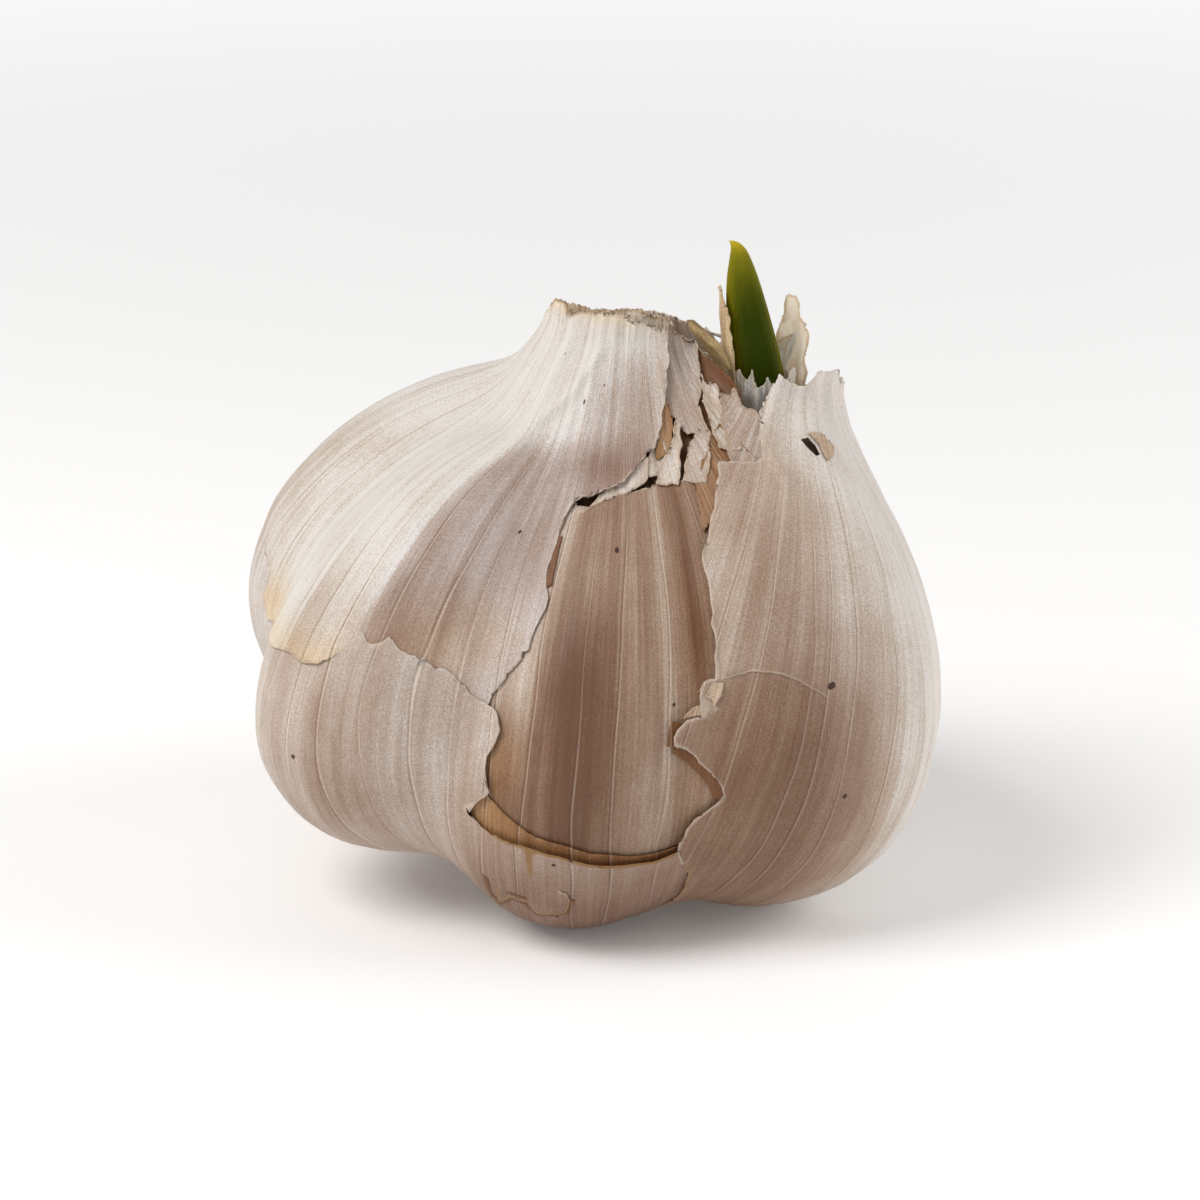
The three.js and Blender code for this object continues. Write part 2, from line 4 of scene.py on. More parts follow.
import bmesh
import bpy
import numpy as np
from bpy.props import FloatProperty, FloatVectorProperty, IntProperty, PointerProperty
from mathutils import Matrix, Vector


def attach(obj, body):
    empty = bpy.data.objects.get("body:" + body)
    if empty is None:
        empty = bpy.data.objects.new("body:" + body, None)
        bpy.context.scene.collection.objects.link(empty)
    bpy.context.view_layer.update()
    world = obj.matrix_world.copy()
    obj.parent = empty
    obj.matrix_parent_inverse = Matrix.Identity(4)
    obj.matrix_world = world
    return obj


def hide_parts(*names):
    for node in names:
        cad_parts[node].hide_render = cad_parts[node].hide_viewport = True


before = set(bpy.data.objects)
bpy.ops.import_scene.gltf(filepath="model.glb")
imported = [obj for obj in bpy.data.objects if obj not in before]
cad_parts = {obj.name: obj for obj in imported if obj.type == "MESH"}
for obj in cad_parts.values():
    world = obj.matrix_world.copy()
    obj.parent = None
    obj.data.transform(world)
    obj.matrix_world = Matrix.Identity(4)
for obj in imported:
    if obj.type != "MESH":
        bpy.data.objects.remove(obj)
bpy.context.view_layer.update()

bl_info = {
    "name": "Sprouting Garlic Bulb",
    "version": (1, 0, 0),
    "blender": (4, 5, 0),
    "location": "3D View > Sidebar > Garlic",
    "description": "Dresses a garlic bulb in papery torn skins, a dried neck and a green shoot",
    "category": "Add Mesh",
}

# Everything below works in millimetres and turns to metres when a mesh is written.
# An azimuth is in degrees from the front of the bulb (-Y), positive towards +X.
# A run goes from 0 under the bulb, up its side, to 1 at the top of the neck.
MM = 0.001
ROOT = "root"


# Sizes and colours a user would change.


def rgb(name, description, value):
    return FloatVectorProperty(
        name=name, description=description, subtype="COLOR", size=3, min=0.0, max=1.0, default=value
    )


def length(name, description, value, low=0.0, high=100.0):
    return FloatProperty(name=name, description=description, default=value, min=low, max=high)


class GarlicSkinSettings(bpy.types.PropertyGroup):
    paper: length("Paper thickness", "Thickness of a dry skin, in millimetres", 0.13, 0.02, 1.0)
    cell: length("Cell width", "Width of a mesh cell across the veins, in millimetres", 0.26, 0.1, 5.0)
    cell_length: length("Cell length", "Length of a mesh cell along the veins, in millimetres", 0.8, 0.1, 9.0)
    vein_spacing: length("Vein spacing", "Mean distance between main veins, in millimetres", 3.4, 1.0, 60.0)
    pleat_height: length("Pleat height", "Depth of the pleats at the neck, in millimetres", 0.3, 0.0, 3.0)
    pale: rgb("Pale skin", "Colour of a skin where nothing shows through it", (0.74, 0.69, 0.64))
    deep: rgb("Deep skin", "Colour where flesh shows fully through a skin", (0.155, 0.074, 0.039))
    ochre: rgb("Torn edge", "Colour of the dry torn edges", (0.27, 0.135, 0.04))


class GarlicShootSettings(bpy.types.PropertyGroup):
    dark: rgb("Dark green", "Colour low on the shoot", (0.034, 0.052, 0.001))
    # The light green is painted light on the shoot's sides.
    light: rgb("Light green", "Colour of the shoot's lit side", (0.25, 0.215, 0.004))
    tip: rgb("Tip", "Colour of the shoot's tip", (0.60, 0.44, 0.02))
    stations: IntProperty(name="Stations", description="Rings along the shoot", default=90, min=8, max=400)


class GarlicStageSettings(bpy.types.PropertyGroup):
    distance: length("Camera distance", "From the camera to the bulb, in millimetres", 300.0, 50.0, 5000.0)
    elevation: FloatProperty(
        name="Camera elevation",
        description="Angle above level",
        subtype="ANGLE",
        default=math.radians(18.0),
        min=0.0,
        max=math.radians(89.0),
    )
    lens: FloatProperty(
        name="Lens", description="Focal length", unit="CAMERA", default=100.0, min=10.0, max=500.0
    )
    floor: rgb("Floor", "Colour of the floor", (0.95, 0.95, 0.95))


# Small helpers.


def mix(a, b, share):
    return a + (b - a) * share


def smooth(low, high, value):
    """A soft step from 0 at low to 1 at high, which may be the smaller."""
    share = np.clip((value - low) / (high - low), 0, 1)
    return share * share * (3 - 2 * share)


LATTICE = 128


def noise(x, y, seed):
    """Smooth noise from -1 to 1 with features about one unit across."""
    lattice = np.random.default_rng(seed).uniform(-1, 1, (LATTICE, LATTICE))
    x0, y0 = np.floor(x).astype(int), np.floor(y).astype(int)
    fx, fy = x - x0, y - y0
    fx, fy = fx * fx * (3 - 2 * fx), fy * fy * (3 - 2 * fy)
    x0, y0, x1, y1 = x0 % LATTICE, y0 % LATTICE, (x0 + 1) % LATTICE, (y0 + 1) % LATTICE
    low = mix(lattice[x0, y0], lattice[x1, y0], fx)
    high = mix(lattice[x0, y1], lattice[x1, y1], fx)
    return mix(low, high, fy)


def fractal(x, y, seed, octaves=4):
    """Noise with finer and weaker noise added, octave by octave."""
    total, weight = 0.0, 0.0
    for octave in range(octaves):
        scale = 2.0**octave
        total = total + noise(x * scale, y * scale, seed + octave) / scale
        weight += 1 / scale
    return total / weight


# The form of the bulb, as in its solid model.

# azimuth, distance from the axis, height, radial, across and tall half sizes, inward tuck
CLOVES = {
    "clove_front_right": (53, 16.5, 21.5, 14.5, 15.5, 21.5, 16),
    "clove_front": (-6, 15.5, 18, 12, 11.5, 18, 10),
    "clove_front_left": (-62, 19, 22.5, 13, 13, 18, 14),
    "clove_left": (-114, 19.5, 27, 14.5, 14, 18, 26),
    "clove_back_left": (-162, 15.5, 20.5, 13, 12, 20.5, 14),
    "clove_back": (156, 15.5, 19.6, 12.5, 11, 19.8, 12),
    "clove_right": (108, 14.5, 19, 12.5, 12, 18.5, 18),
}
PEAR = 0.2
PEAR_REACH = 1.2
BLEND = 2
LEAN_SHIFT = 6
LEAN_HEIGHT = 50
LEAN_TOP = 80
# axis x and y at the top, floor, foot, foot radius, top, top radius
NECK = (-3, 1, 3, 26, 20.5, 49.5, 7)
TIP = (11.2, -3, 14, 30, 10, 45, 5.4)
COLUMN_ROUNDING = 1.5
COLUMN_SLOPE = 0.8
COLUMN_TAPER = 0.9
# Where the veins of a skin run together
NECK_POLE = (3.0, 1.0, 50.0)
TIP_POLE = (16.3, -3.0, 47.0)
# The rays that find the outside leave the leaning axis at a height and a tilt that grow with the run.
RAY_FOOT, RAY_RISE, RAY_RISE_POWER = 14, 37, 1.6
RAY_TILT, RAY_TURN, RAY_TURN_POWER = -84, 104, 0.62
RAY_STEP, RAY_END = 0.8, 56
HALVINGS = 12
SMOOTHINGS = 2
PROBE_DEGREES, PROBE_RUN = 0.8, 0.008


def lean(z):
    """How far the bulb leans to the right at a height."""
    return LEAN_SHIFT * (np.clip(z, 0, LEAN_TOP) / LEAN_HEIGHT) ** 1.5


def clove_field(point, clove):
    """Rough millimetres outside a clove, a tucked egg with its narrow end up, and less than 0 inside."""
    azimuth, out, up, radial, across, tall, tuck = clove
    turn, tip = math.radians(azimuth), math.radians(tuck)
    outward = np.array([math.sin(turn), -math.cos(turn), 0.0])
    upward = np.array([0.0, 0.0, 1.0])
    sideways = np.array([math.cos(turn), math.sin(turn), 0.0])
    offset = point - (outward * out + upward * up)
    height = offset @ (upward * math.cos(tip) - outward * math.sin(tip)) / tall
    girth = 1 - PEAR * np.clip(height, -PEAR_REACH, PEAR_REACH)
    a = offset @ (outward * math.cos(tip) + upward * math.sin(tip)) / girth / radial
    b = offset @ sideways / girth / across
    size = np.sqrt(a * a + b * b + height * height)
    slope = np.sqrt((a / radial) ** 2 + (b / across) ** 2 + (height / tall) ** 2)
    return size * (size - 1) / np.maximum(slope, 1e-9)


def column_field(point, column, wanders):
    """Rough millimetres outside a column that narrows as it rises, and less than 0 inside."""
    x, y, floor, foot, foot_radius, top, top_radius = column
    rise = np.clip((point[..., 2] - foot) / (top - foot), 0, 1)
    along = rise if wanders else np.ones_like(rise)
    distance = np.hypot(point[..., 0] - x * along, point[..., 1] - y * along)
    fall = np.clip((foot - point[..., 2]) / (foot - floor), 0, 1)
    radius = mix(foot_radius, top_radius, rise**COLUMN_TAPER) * np.sqrt(1 - fall * fall)
    return np.maximum((distance - radius) * COLUMN_SLOPE, floor + COLUMN_ROUNDING - point[..., 2])


def upright(point):
    """A point's place before the bulb leans."""
    return np.stack([point[..., 0] - lean(point[..., 2]), point[..., 1], point[..., 2]], axis=-1)


def bulb_field(point):
    """The cloves, neck and tip blended into one, less than 0 inside."""
    straight = upright(point)
    fields = [clove_field(straight, clove) for clove in CLOVES.values()]
    fields += [column_field(straight, NECK, True), column_field(straight, TIP, False)]
    fields = np.stack(fields)
    least = fields.min(axis=0)
    return least - BLEND * np.log(np.exp((least - fields) / BLEND).sum(axis=0))


def ray(azimuth, run):
    """Where the ray for a place on the bulb starts, and its direction."""
    run = np.clip(run, 0.001, None)
    height = RAY_FOOT + RAY_RISE * run**RAY_RISE_POWER
    tilt = np.radians(RAY_TILT + RAY_TURN * run**RAY_TURN_POWER)
    turn = np.radians(azimuth)
    start = np.stack([lean(height), np.zeros_like(height), height], axis=-1)
    direction = np.stack([np.sin(turn) * np.cos(tilt), -np.cos(turn) * np.cos(tilt), np.sin(tilt)], axis=-1)
    return start, direction


class Membrane:
    """The outside of the bulb, found once on a coarse grid of rays and smoothly read in between."""

    STEP = 1.5
    RUNS = 110
    LOW, HIGH = 0.06, 1.08
    SCALE = (0.46, 85)  # rough millimetres per degree and per unit of run

    def __init__(self):
        azimuths = np.arange(-180, 180, self.STEP)
        runs = np.linspace(self.LOW, self.HIGH, self.RUNS)
        azimuth, run = np.meshgrid(azimuths, runs, indexing="ij")
        start, direction = ray(azimuth, run)
        inside = np.zeros(azimuth.shape)
        for distance in np.arange(RAY_STEP, RAY_END, RAY_STEP):
            hit = bulb_field(start + direction * distance) < 0
            inside = np.where(hit, distance, inside)
        outside = inside + RAY_STEP
        for _ in range(HALVINGS):
            middle = (inside + outside) / 2
            hit = bulb_field(start + direction * middle[..., None]) < 0
            inside, outside = np.where(hit, middle, inside), np.where(hit, outside, middle)
        # The skin bridges the narrow folds between cloves.
        for _ in range(SMOOTHINGS):
            inside = (np.roll(inside, 1, 0) + 2 * inside + np.roll(inside, -1, 0)) / 4
            padded = np.pad(inside, ((0, 0), (1, 1)), mode="edge")
            inside = (padded[:, :-2] + 2 * inside + padded[:, 2:]) / 4
        self.reach = inside

    def read(self, azimuth, run):
        x = (azimuth + 180) / self.STEP
        y = np.clip((run - self.LOW) / (self.HIGH - self.LOW) * (self.RUNS - 1), 1, self.RUNS - 3)
        x0, y0 = np.floor(x).astype(int), np.floor(y).astype(int)

        def weights(t):
            return [
                -0.5 * t + t * t - 0.5 * t**3,
                1 - 2.5 * t * t + 1.5 * t**3,
                0.5 * t + 2 * t * t - 1.5 * t**3,
                -0.5 * t * t + 0.5 * t**3,
            ]

        wx, wy = weights(x - x0), weights(y - y0)
        columns = self.reach.shape[0]
        total = 0.0
        for i in range(4):
            for j in range(4):
                total = total + wx[i] * wy[j] * self.reach[(x0 + i - 1) % columns, y0 + j - 1]
        return total

    def point(self, azimuth, run):
        start, direction = ray(azimuth, run)
        return start + direction * self.read(azimuth, run)[..., None]

    def surface(self, azimuth, run):
        """Points, outward normals, and millimetres per degree and per unit of run."""
        right, left = self.point(azimuth + PROBE_DEGREES, run), self.point(azimuth - PROBE_DEGREES, run)
        above, below = self.point(azimuth, run + PROBE_RUN), self.point(azimuth, run - PROBE_RUN)
        across = (right - left) / (2 * PROBE_DEGREES)
        along = (above - below) / (2 * PROBE_RUN)
        normal = np.cross(across, along)
        normal /= np.linalg.norm(normal, axis=-1, keepdims=True)
        widths = np.linalg.norm(across, axis=-1), np.linalg.norm(along, axis=-1)
        return self.point(azimuth, run), normal, widths


class Sheath:
    """A flaring tube round the shoot. Its run goes from 0 at the foot to 1 at the top."""

    SCALE = (0.06, 12)
    AXIS = (14.8, -3.0)
    FOOT, TOP = 43.0, 54.0

    def __init__(self, foot_radius, top_radius):
        self.foot_radius, self.top_radius = foot_radius, top_radius

    def surface(self, azimuth, run):
        turn = np.radians(azimuth)
        radius = mix(self.foot_radius, self.top_radius, run)
        outward = np.stack([np.sin(turn), -np.cos(turn), np.zeros_like(turn)], axis=-1)
        point = outward * radius[:, None]
        point[:, 0] += self.AXIS[0]
        point[:, 1] += self.AXIS[1]
        point[:, 2] += mix(self.FOOT, self.TOP, run)
        return point, outward, (np.radians(radius), np.full_like(run, self.TOP - self.FOOT))


MEMBRANE = Membrane()


def vein_angle(point, pole):
    """Degrees round the line from the root plate to a pole: the veins are lines of one angle."""
    axis = np.array(pole) / np.linalg.norm(pole)
    side = np.cross([0.0, 1.0, 0.0], axis)
    side /= np.linalg.norm(side)
    forward = np.cross(axis, side)
    return np.degrees(np.arctan2(point @ side, -(point @ forward)))


# Sheets of skin.

TINY = 1e-12
TEAR_WAVE = 3.1  # millimetres
TEAR_NICK = 0.8
EDGE_MARGIN = (1.0, 1.5)  # millimetres of grid past an outline, across and along
LONGEST_SLIDE = 1.5  # millimetres that a corner outside may move in one step
SLIDES = 3
LEAST_CELLS = 8
LEAST_SLOPE = 0.25  # squared
PROBE = (0.02, 0.05)  # millimetres, for the slope of the distance from an edge
GRAIN_WIDTH = 0.45  # millimetres of grain for a degree of vein angle
RIM_REACH = 8.0  # millimetres from a torn edge
LIFT_REACH = 0.9
# Relief: features per degree of vein angle and per unit of run, and a seed
PLEATS = (0.22, 1.5, 60)
SWELLS = (0.07, 6, 70)
CREASES = (0.7, 22, 80)
CRUMPLES = (0.9, 4, 70)
PLEAT_RUNS = (0.72, 0.95)  # where the pleats grow to their full height
LEAST_PLEAT = 0.2
SWELL_HEIGHT, CREASE_HEIGHT = 0.3, 0.05
FLOOR_GAP = 0.02
TONES = ("deep", "mauve", "tan", "burnt")
MOST_TONE = 1.2


def segment_distance(azimuth, run, start, end, widths):
    """Millimetres from the straight segment between two places."""
    per_degree, per_run = widths
    dx, dy = (end[0] - start[0]) * per_degree, (end[1] - start[1]) * per_run
    px, py = (azimuth - start[0]) * per_degree, (run - start[1]) * per_run
    share = np.clip((px * dx + py * dy) / np.maximum(dx * dx + dy * dy, TINY), 0, 1)
    return np.hypot(px - share * dx, py - share * dy)


def line_distance(azimuth, run, line, widths):
    """Millimetres from an open line of places."""
    ends = zip(line, line[1:])
    return reduce(np.minimum, (segment_distance(azimuth, run, start, end, widths) for start, end in ends))


def outline_distance(azimuth, run, outline, widths):
    """Millimetres from a closed outline, positive inside it."""
    closed = outline + outline[:1]
    inside = np.zeros(azimuth.shape, bool)
    for (a0, r0), (a1, r1) in zip(closed, closed[1:]):
        if r0 != r1:
            inside ^= ((r0 > run) != (r1 > run)) & (azimuth < a0 + (run - r0) / (r1 - r0) * (a1 - a0))
    nearest = line_distance(azimuth, run, closed, widths)
    return np.where(inside, nearest, -nearest)


def tear(azimuth, run, scale, seed, size):
    """A ragged shift of a torn edge, in millimetres: long waves and short nicks."""
    x, y = azimuth * scale[0], run * scale[1]
    waves = fractal(x / TEAR_WAVE, y / TEAR_WAVE, seed)
    nicks = fractal(x / TEAR_NICK, y / TEAR_NICK, seed + 9, 3)
    return size * (0.7 * waves + 0.5 * nicks)


def grid(across, along):
    """A flat grid of one unit, as a bmesh."""
    bm = bmesh.new()
    bmesh.ops.create_grid(bm, x_segments=across, y_segments=along, size=0.5)
    bm.verts.index_update()
    return bm


def grid_places(bm):
    """Where each point lies on the flat grid, from 0 to 1 both ways."""
    return (np.array([vert.co[:2] for vert in bm.verts]) + 0.5).T


def new_piece(name, bm):
    mesh = bpy.data.meshes.new(name)
    bm.to_mesh(mesh)
    bm.free()
    piece = bpy.data.objects.new(name, mesh)
    bpy.context.scene.collection.objects.link(piece)
    return piece


def write_points(mesh, points):
    mesh.vertices.foreach_set("co", (points * MM).astype(np.float32).ravel())
    mesh.update()


def write_attribute(mesh, name, values):
    attribute = mesh.attributes.new(name, "FLOAT", "POINT")
    attribute.data.foreach_set("value", np.asarray(values, np.float32))


def write_uv(mesh, u, v):
    layer = mesh.uv_layers.new(name="grain")
    corner = np.zeros(len(mesh.loops), np.int32)
    mesh.loops.foreach_get("vertex_index", corner)
    layer.data.foreach_set("uv", np.stack([u[corner], v[corner]], axis=-1).astype(np.float32).ravel())


def thicken(piece, thickness):
    shell = piece.modifiers.new("paper", "SOLIDIFY")
    shell.thickness = thickness * MM
    shell.offset = -1
    shell.use_even_offset = False


def weld(piece, distance, close_ends=False):
    """Joins the points of a rolled grid that meet, and turns its faces outward."""
    shell = bmesh.new()
    shell.from_mesh(piece.data)
    bmesh.ops.remove_doubles(shell, verts=shell.verts, dist=distance)
    if close_ends:
        bmesh.ops.holes_fill(shell, edges=[edge for edge in shell.edges if edge.is_boundary])
    bmesh.ops.recalc_face_normals(shell, faces=shell.faces)
    shell.to_mesh(piece.data)
    shell.free()


def coat(thing, material):
    thing.data.materials.clear()
    thing.data.materials.append(material)


def finish_piece(piece, material, replaced):
    piece.data.shade_smooth()
    coat(piece, material)
    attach(piece, ROOT)
    if replaced:
        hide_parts(*replaced)


def cut_sheet(on, outline, cell, distance_at):
    """A grid over an outline, cut to where distance_at is positive: a bmesh, its azimuths and runs."""
    az, rn = zip(*outline)
    per_degree, per_run = on.SCALE
    az_low, az_high = min(az) - EDGE_MARGIN[0] / per_degree, max(az) + EDGE_MARGIN[0] / per_degree
    run_low, run_high = min(rn) - EDGE_MARGIN[1] / per_run, max(rn) + EDGE_MARGIN[1] / per_run
    across = max(LEAST_CELLS, int((az_high - az_low) * per_degree / cell[0]))
    along = max(LEAST_CELLS, int((run_high - run_low) * per_run / cell[1]))
    bm = grid(across, along)

    def places():
        u, v = grid_places(bm)
        return mix(az_low, az_high, u), mix(run_low, run_high, v)

    distance = distance_at(*places())
    outside = [face for face in bm.faces if all(distance[v.index] <= 0 for v in face.verts)]
    bmesh.ops.delete(bm, geom=outside, context="FACES")
    bmesh.ops.delete(bm, geom=[vert for vert in bm.verts if not vert.link_faces], context="VERTS")
    azimuth, run = places()
    # Corners left outside slide back onto the torn edge.
    for _ in range(SLIDES):
        out = distance_at(azimuth, run)
        move = out < 0
        if not move.any():
            break
        a, r, d = azimuth[move], run[move], out[move]
        da, dr = PROBE[0] / per_degree, PROBE[1] / per_run
        by_azimuth = (distance_at(a + da, r) - distance_at(a - da, r)) / (2 * da)
        by_run = (distance_at(a, r + dr) - distance_at(a, r - dr)) / (2 * dr)
        widths = on.surface(a, r)[2]
        slope_a, slope_r = by_azimuth / widths[0], by_run / widths[1]
        size = np.maximum(slope_a**2 + slope_r**2, LEAST_SLOPE)
        azimuth[move] = a - np.clip(d * slope_a / size, -LONGEST_SLIDE, LONGEST_SLIDE) / widths[0]
        run[move] = r - np.clip(d * slope_r / size, -LONGEST_SLIDE, LONGEST_SLIDE) / widths[1]
    return bm, azimuth, run


def skin_relief(on, azimuth, run, point, options):
    """The vein angle at each point, and the skin's own pleats, swells and creases in millimetres."""
    if on is not MEMBRANE:
        angle = azimuth * on.SCALE[0] / GRAIN_WIDTH
        crumples = fractal(angle * CRUMPLES[0], run * CRUMPLES[1], options["seed"] + CRUMPLES[2], 3)
        return angle, options["crumple"] * crumples
    angle = vein_angle(point, options.get("pole", NECK_POLE))
    height = bpy.context.scene.garlic_skin.pleat_height * (smooth(*PLEAT_RUNS, run) + LEAST_PLEAT)
    pleats = height * 0.5 * noise(angle * PLEATS[0], run * PLEATS[1], PLEATS[2])
    swells = SWELL_HEIGHT * fractal(angle * SWELLS[0], run * SWELLS[1], SWELLS[2], 3)
    return angle, pleats + swells + CREASE_HEIGHT * noise(angle * CREASES[0], run * CREASES[1], CREASES[2])


def skin_sheet(name, outline, material, slot, replaced=(), **options):
    """One dry skin, cut to an outline of places on a surface.

    Options: seed, tones, on (the surface), depth and lift in millimetres (numbers or functions), ragged,
    pole, cuts, holes, ridges, cell, crumple.
    """
    settings = bpy.context.scene.garlic_skin
    on = options.get("on", MEMBRANE)
    seed = options["seed"]
    ragged = options.get("ragged", 0.4)

    def distance_at(azimuth, run):
        widths = on.surface(azimuth, run)[2]
        size = ragged(azimuth, run) if callable(ragged) else ragged
        inside = outline_distance(azimuth, run, outline, widths) + tear(azimuth, run, on.SCALE, seed, size)
        for line, half_width in options.get("cuts", ()):
            taper = half_width * (0.6 + 0.6 * noise(run * 90, azimuth * 0.3, seed + 21))
            inside = np.minimum(inside, line_distance(azimuth, run, line, widths) - taper)
        for hole in options.get("holes", ()):
            inside = np.minimum(inside, -outline_distance(azimuth, run, hole, widths) + 0.3 * size)
        return inside

    cell = options.get("cell", (settings.cell, settings.cell_length))
    bm, azimuth, run = cut_sheet(on, outline, cell, distance_at)
    piece = new_piece(name, bm)
    point, normal, widths = on.surface(azimuth, run)
    rim = np.clip(distance_at(azimuth, run), 0, RIM_REACH)
    angle, relief = skin_relief(on, azimuth, run, point, options)
    for line, height, width in options.get("ridges", ()):
        relief += height * np.exp(-((line_distance(azimuth, run, line, widths) / width) ** 2))
    depth = options.get("depth", 0.2)
    depth = depth(azimuth, run) if callable(depth) else depth
    lift = options.get("lift", 0.0)
    lift = lift(azimuth, run, rim) if callable(lift) else lift * np.exp(-rim / LIFT_REACH)
    placed = point + normal * (relief - depth + lift)[:, None]
    placed[:, 2] = np.maximum(placed[:, 2], FLOOR_GAP + settings.paper * 0.5)
    write_points(piece.data, placed)
    write_uv(piece.data, angle * GRAIN_WIDTH, run * on.SCALE[1])
    write_attribute(piece.data, "rim", rim)
    tones = options["tones"](azimuth, run, angle)
    for tone in TONES:
        write_attribute(piece.data, tone, np.clip(np.zeros_like(run) + tones.get(tone, 0), 0, MOST_TONE))
    thicken(piece, settings.paper)
    finish_piece(piece, material, replaced)


def sheet(name, outline, node=None, **options):
    """A row in a list of skins: its name, its outline, the solid it stands for and its options."""
    return {"name": name, "outline": outline, "replaced": (node,) if node else (), **options}


def make_sheets(rows, material, slot, **common):
    for row in rows:
        skin_sheet(material=material, slot=slot, **common, **row)


# Materials.


class Shader:
    """A material's node tree, built by short calls."""

    def __init__(self, name):
        self.material = bpy.data.materials.new(name)
        self.material.use_nodes = True
        self.tree = self.material.node_tree
        self.surface = self.tree.nodes["Principled BSDF"]

    def add(self, kind, inputs=None, **settings):
        node = self.tree.nodes.new(kind)
        for key, value in settings.items():
            setattr(node, key, value)
        for key, value in (inputs or {}).items():
            self.feed(node.inputs[key], value)
        return node

    def feed(self, socket, value):
        if isinstance(value, bpy.types.NodeSocket):
            self.tree.links.new(value, socket)
        elif hasattr(value, "__len__") and len(value) == 3 and socket.type == "RGBA":
            socket.default_value = (*value, 1.0)
        else:
            socket.default_value = value

    def attribute(self, name):
        return self.add("ShaderNodeAttribute", attribute_name=name).outputs["Fac"]

    def maths(self, operation, first, second=0.0, third=0.0):
        node = self.add("ShaderNodeMath", {0: first, 1: second, 2: third}, operation=operation)
        return node.outputs[0]

    def ramp(self, value, low, high, out_low=0.0, out_high=1.0):
        inputs = {"Value": value, "From Min": low, "From Max": high, "To Min": out_low, "To Max": out_high}
        return self.add("ShaderNodeMapRange", inputs, interpolation_type="SMOOTHSTEP").outputs["Result"]

    def blend(self, share, first, second, kind="MIX"):
        node = self.add("ShaderNodeMix", data_type="RGBA", blend_type=kind)
        self.feed(node.inputs[0], share)
        self.feed(node.inputs[6], first)
        self.feed(node.inputs[7], second)
        return node.outputs[2]

    def noise(self, vector, scale, detail=3.0, roughness=0.55):
        inputs = {"Vector": vector, "Scale": scale, "Detail": detail, "Roughness": roughness}
        return self.add("ShaderNodeTexNoise", inputs).outputs["Fac"]

    def fibres(self, grain, across, along, detail):
        """Noise drawn out along the veins: features per unit of grain across and along them."""
        return self.noise(self.scaled(grain, across, along), 1.0, detail)

    def scaled(self, vector, x, y, z=1.0):
        return self.add("ShaderNodeMapping", {"Vector": vector, "Scale": (x, y, z)}).outputs["Vector"]

    def grain(self):
        return self.add("ShaderNodeUVMap", uv_map="grain").outputs["UV"]

    def place(self):
        return self.add("ShaderNodeTexCoord").outputs["Object"]

    def bump(self, height, strength, distance):
        inputs = {"Height": height, "Strength": strength, "Distance": distance}
        self.feed(self.surface.inputs["Normal"], self.add("ShaderNodeBump", inputs).outputs["Normal"])

    def distance(self, vector, at):
        node = self.add("ShaderNodeVectorMath", {0: vector, 1: at}, operation="DISTANCE")
        return node.outputs["Value"]

    def specks(self, vector, scale, chance, size):
        """Sparse dots: 1 on a dot. Only a share of the cells holds one."""
        cell = self.add("ShaderNodeTexVoronoi", {"Vector": vector, "Scale": scale, "Randomness": 1.0})
        near = self.ramp(cell.outputs["Distance"], size, size * 0.6)
        draw = self.add("ShaderNodeSeparateColor", {0: cell.outputs["Color"]}).outputs[0]
        return self.maths("MULTIPLY", near, self.maths("LESS_THAN", draw, chance))


MAUVE_CAST = (1.0, 1.05, 1.2)
TAN_CAST = (1.0, 0.80, 0.50)
# VEIN_CAST lightens a vein's crest: its paler colour and partly a painted highlight.
VEIN_CAST = (1.45, 1.42, 1.32)
# Painted shade: the colour of the thin line beside each main vein, where its ridge would shade the skin.
VEIN_PAINTED_SHADE = (0.62, 0.55, 0.50)
RIM_CAST = (0.95, 0.86, 0.76)
SPECK_BROWN = (0.06, 0.03, 0.02)
SHOOT_UPPER = (0.27, 0.24, 0.012)
VEIN_WIDTH = (0.038, 0.01)  # share of the vein spacing where a line starts and is full
PAINTED_SHADE_SHIFT = 0.052  # share of the vein spacing between a vein and its shade
FINE_VEINS = 3.7  # fine veins to a main one
RIM_WIDTH = (0.26, 0.06)  # millimetres from a torn edge
BURNT_WIDTH = (0.34, 0.06)
TIP_SIDE = 14  # degrees; the veins of a place further right run to the sprouting tip
# The two colours of each plain material
STALK_CORK = ((0.56, 0.40, 0.27), (0.70, 0.58, 0.45))
ROOT_CORK = ((0.30, 0.20, 0.11), (0.46, 0.34, 0.21))
STRAND_STRAW = ((0.20, 0.125, 0.045), (0.52, 0.37, 0.17))
CLOVE_FLESH = ((0.42, 0.27, 0.16), (0.52, 0.36, 0.23))


def vein_lines(shader, across, shift):
    """Thin lines at uneven distances, 1 on a line."""
    at = {"W": shader.maths("ADD", across, shift), "Scale": 1.0}
    cells = shader.add("ShaderNodeTexVoronoi", at, voronoi_dimensions="1D", feature="DISTANCE_TO_EDGE")
    return shader.ramp(cells.outputs["Distance"], *VEIN_WIDTH)


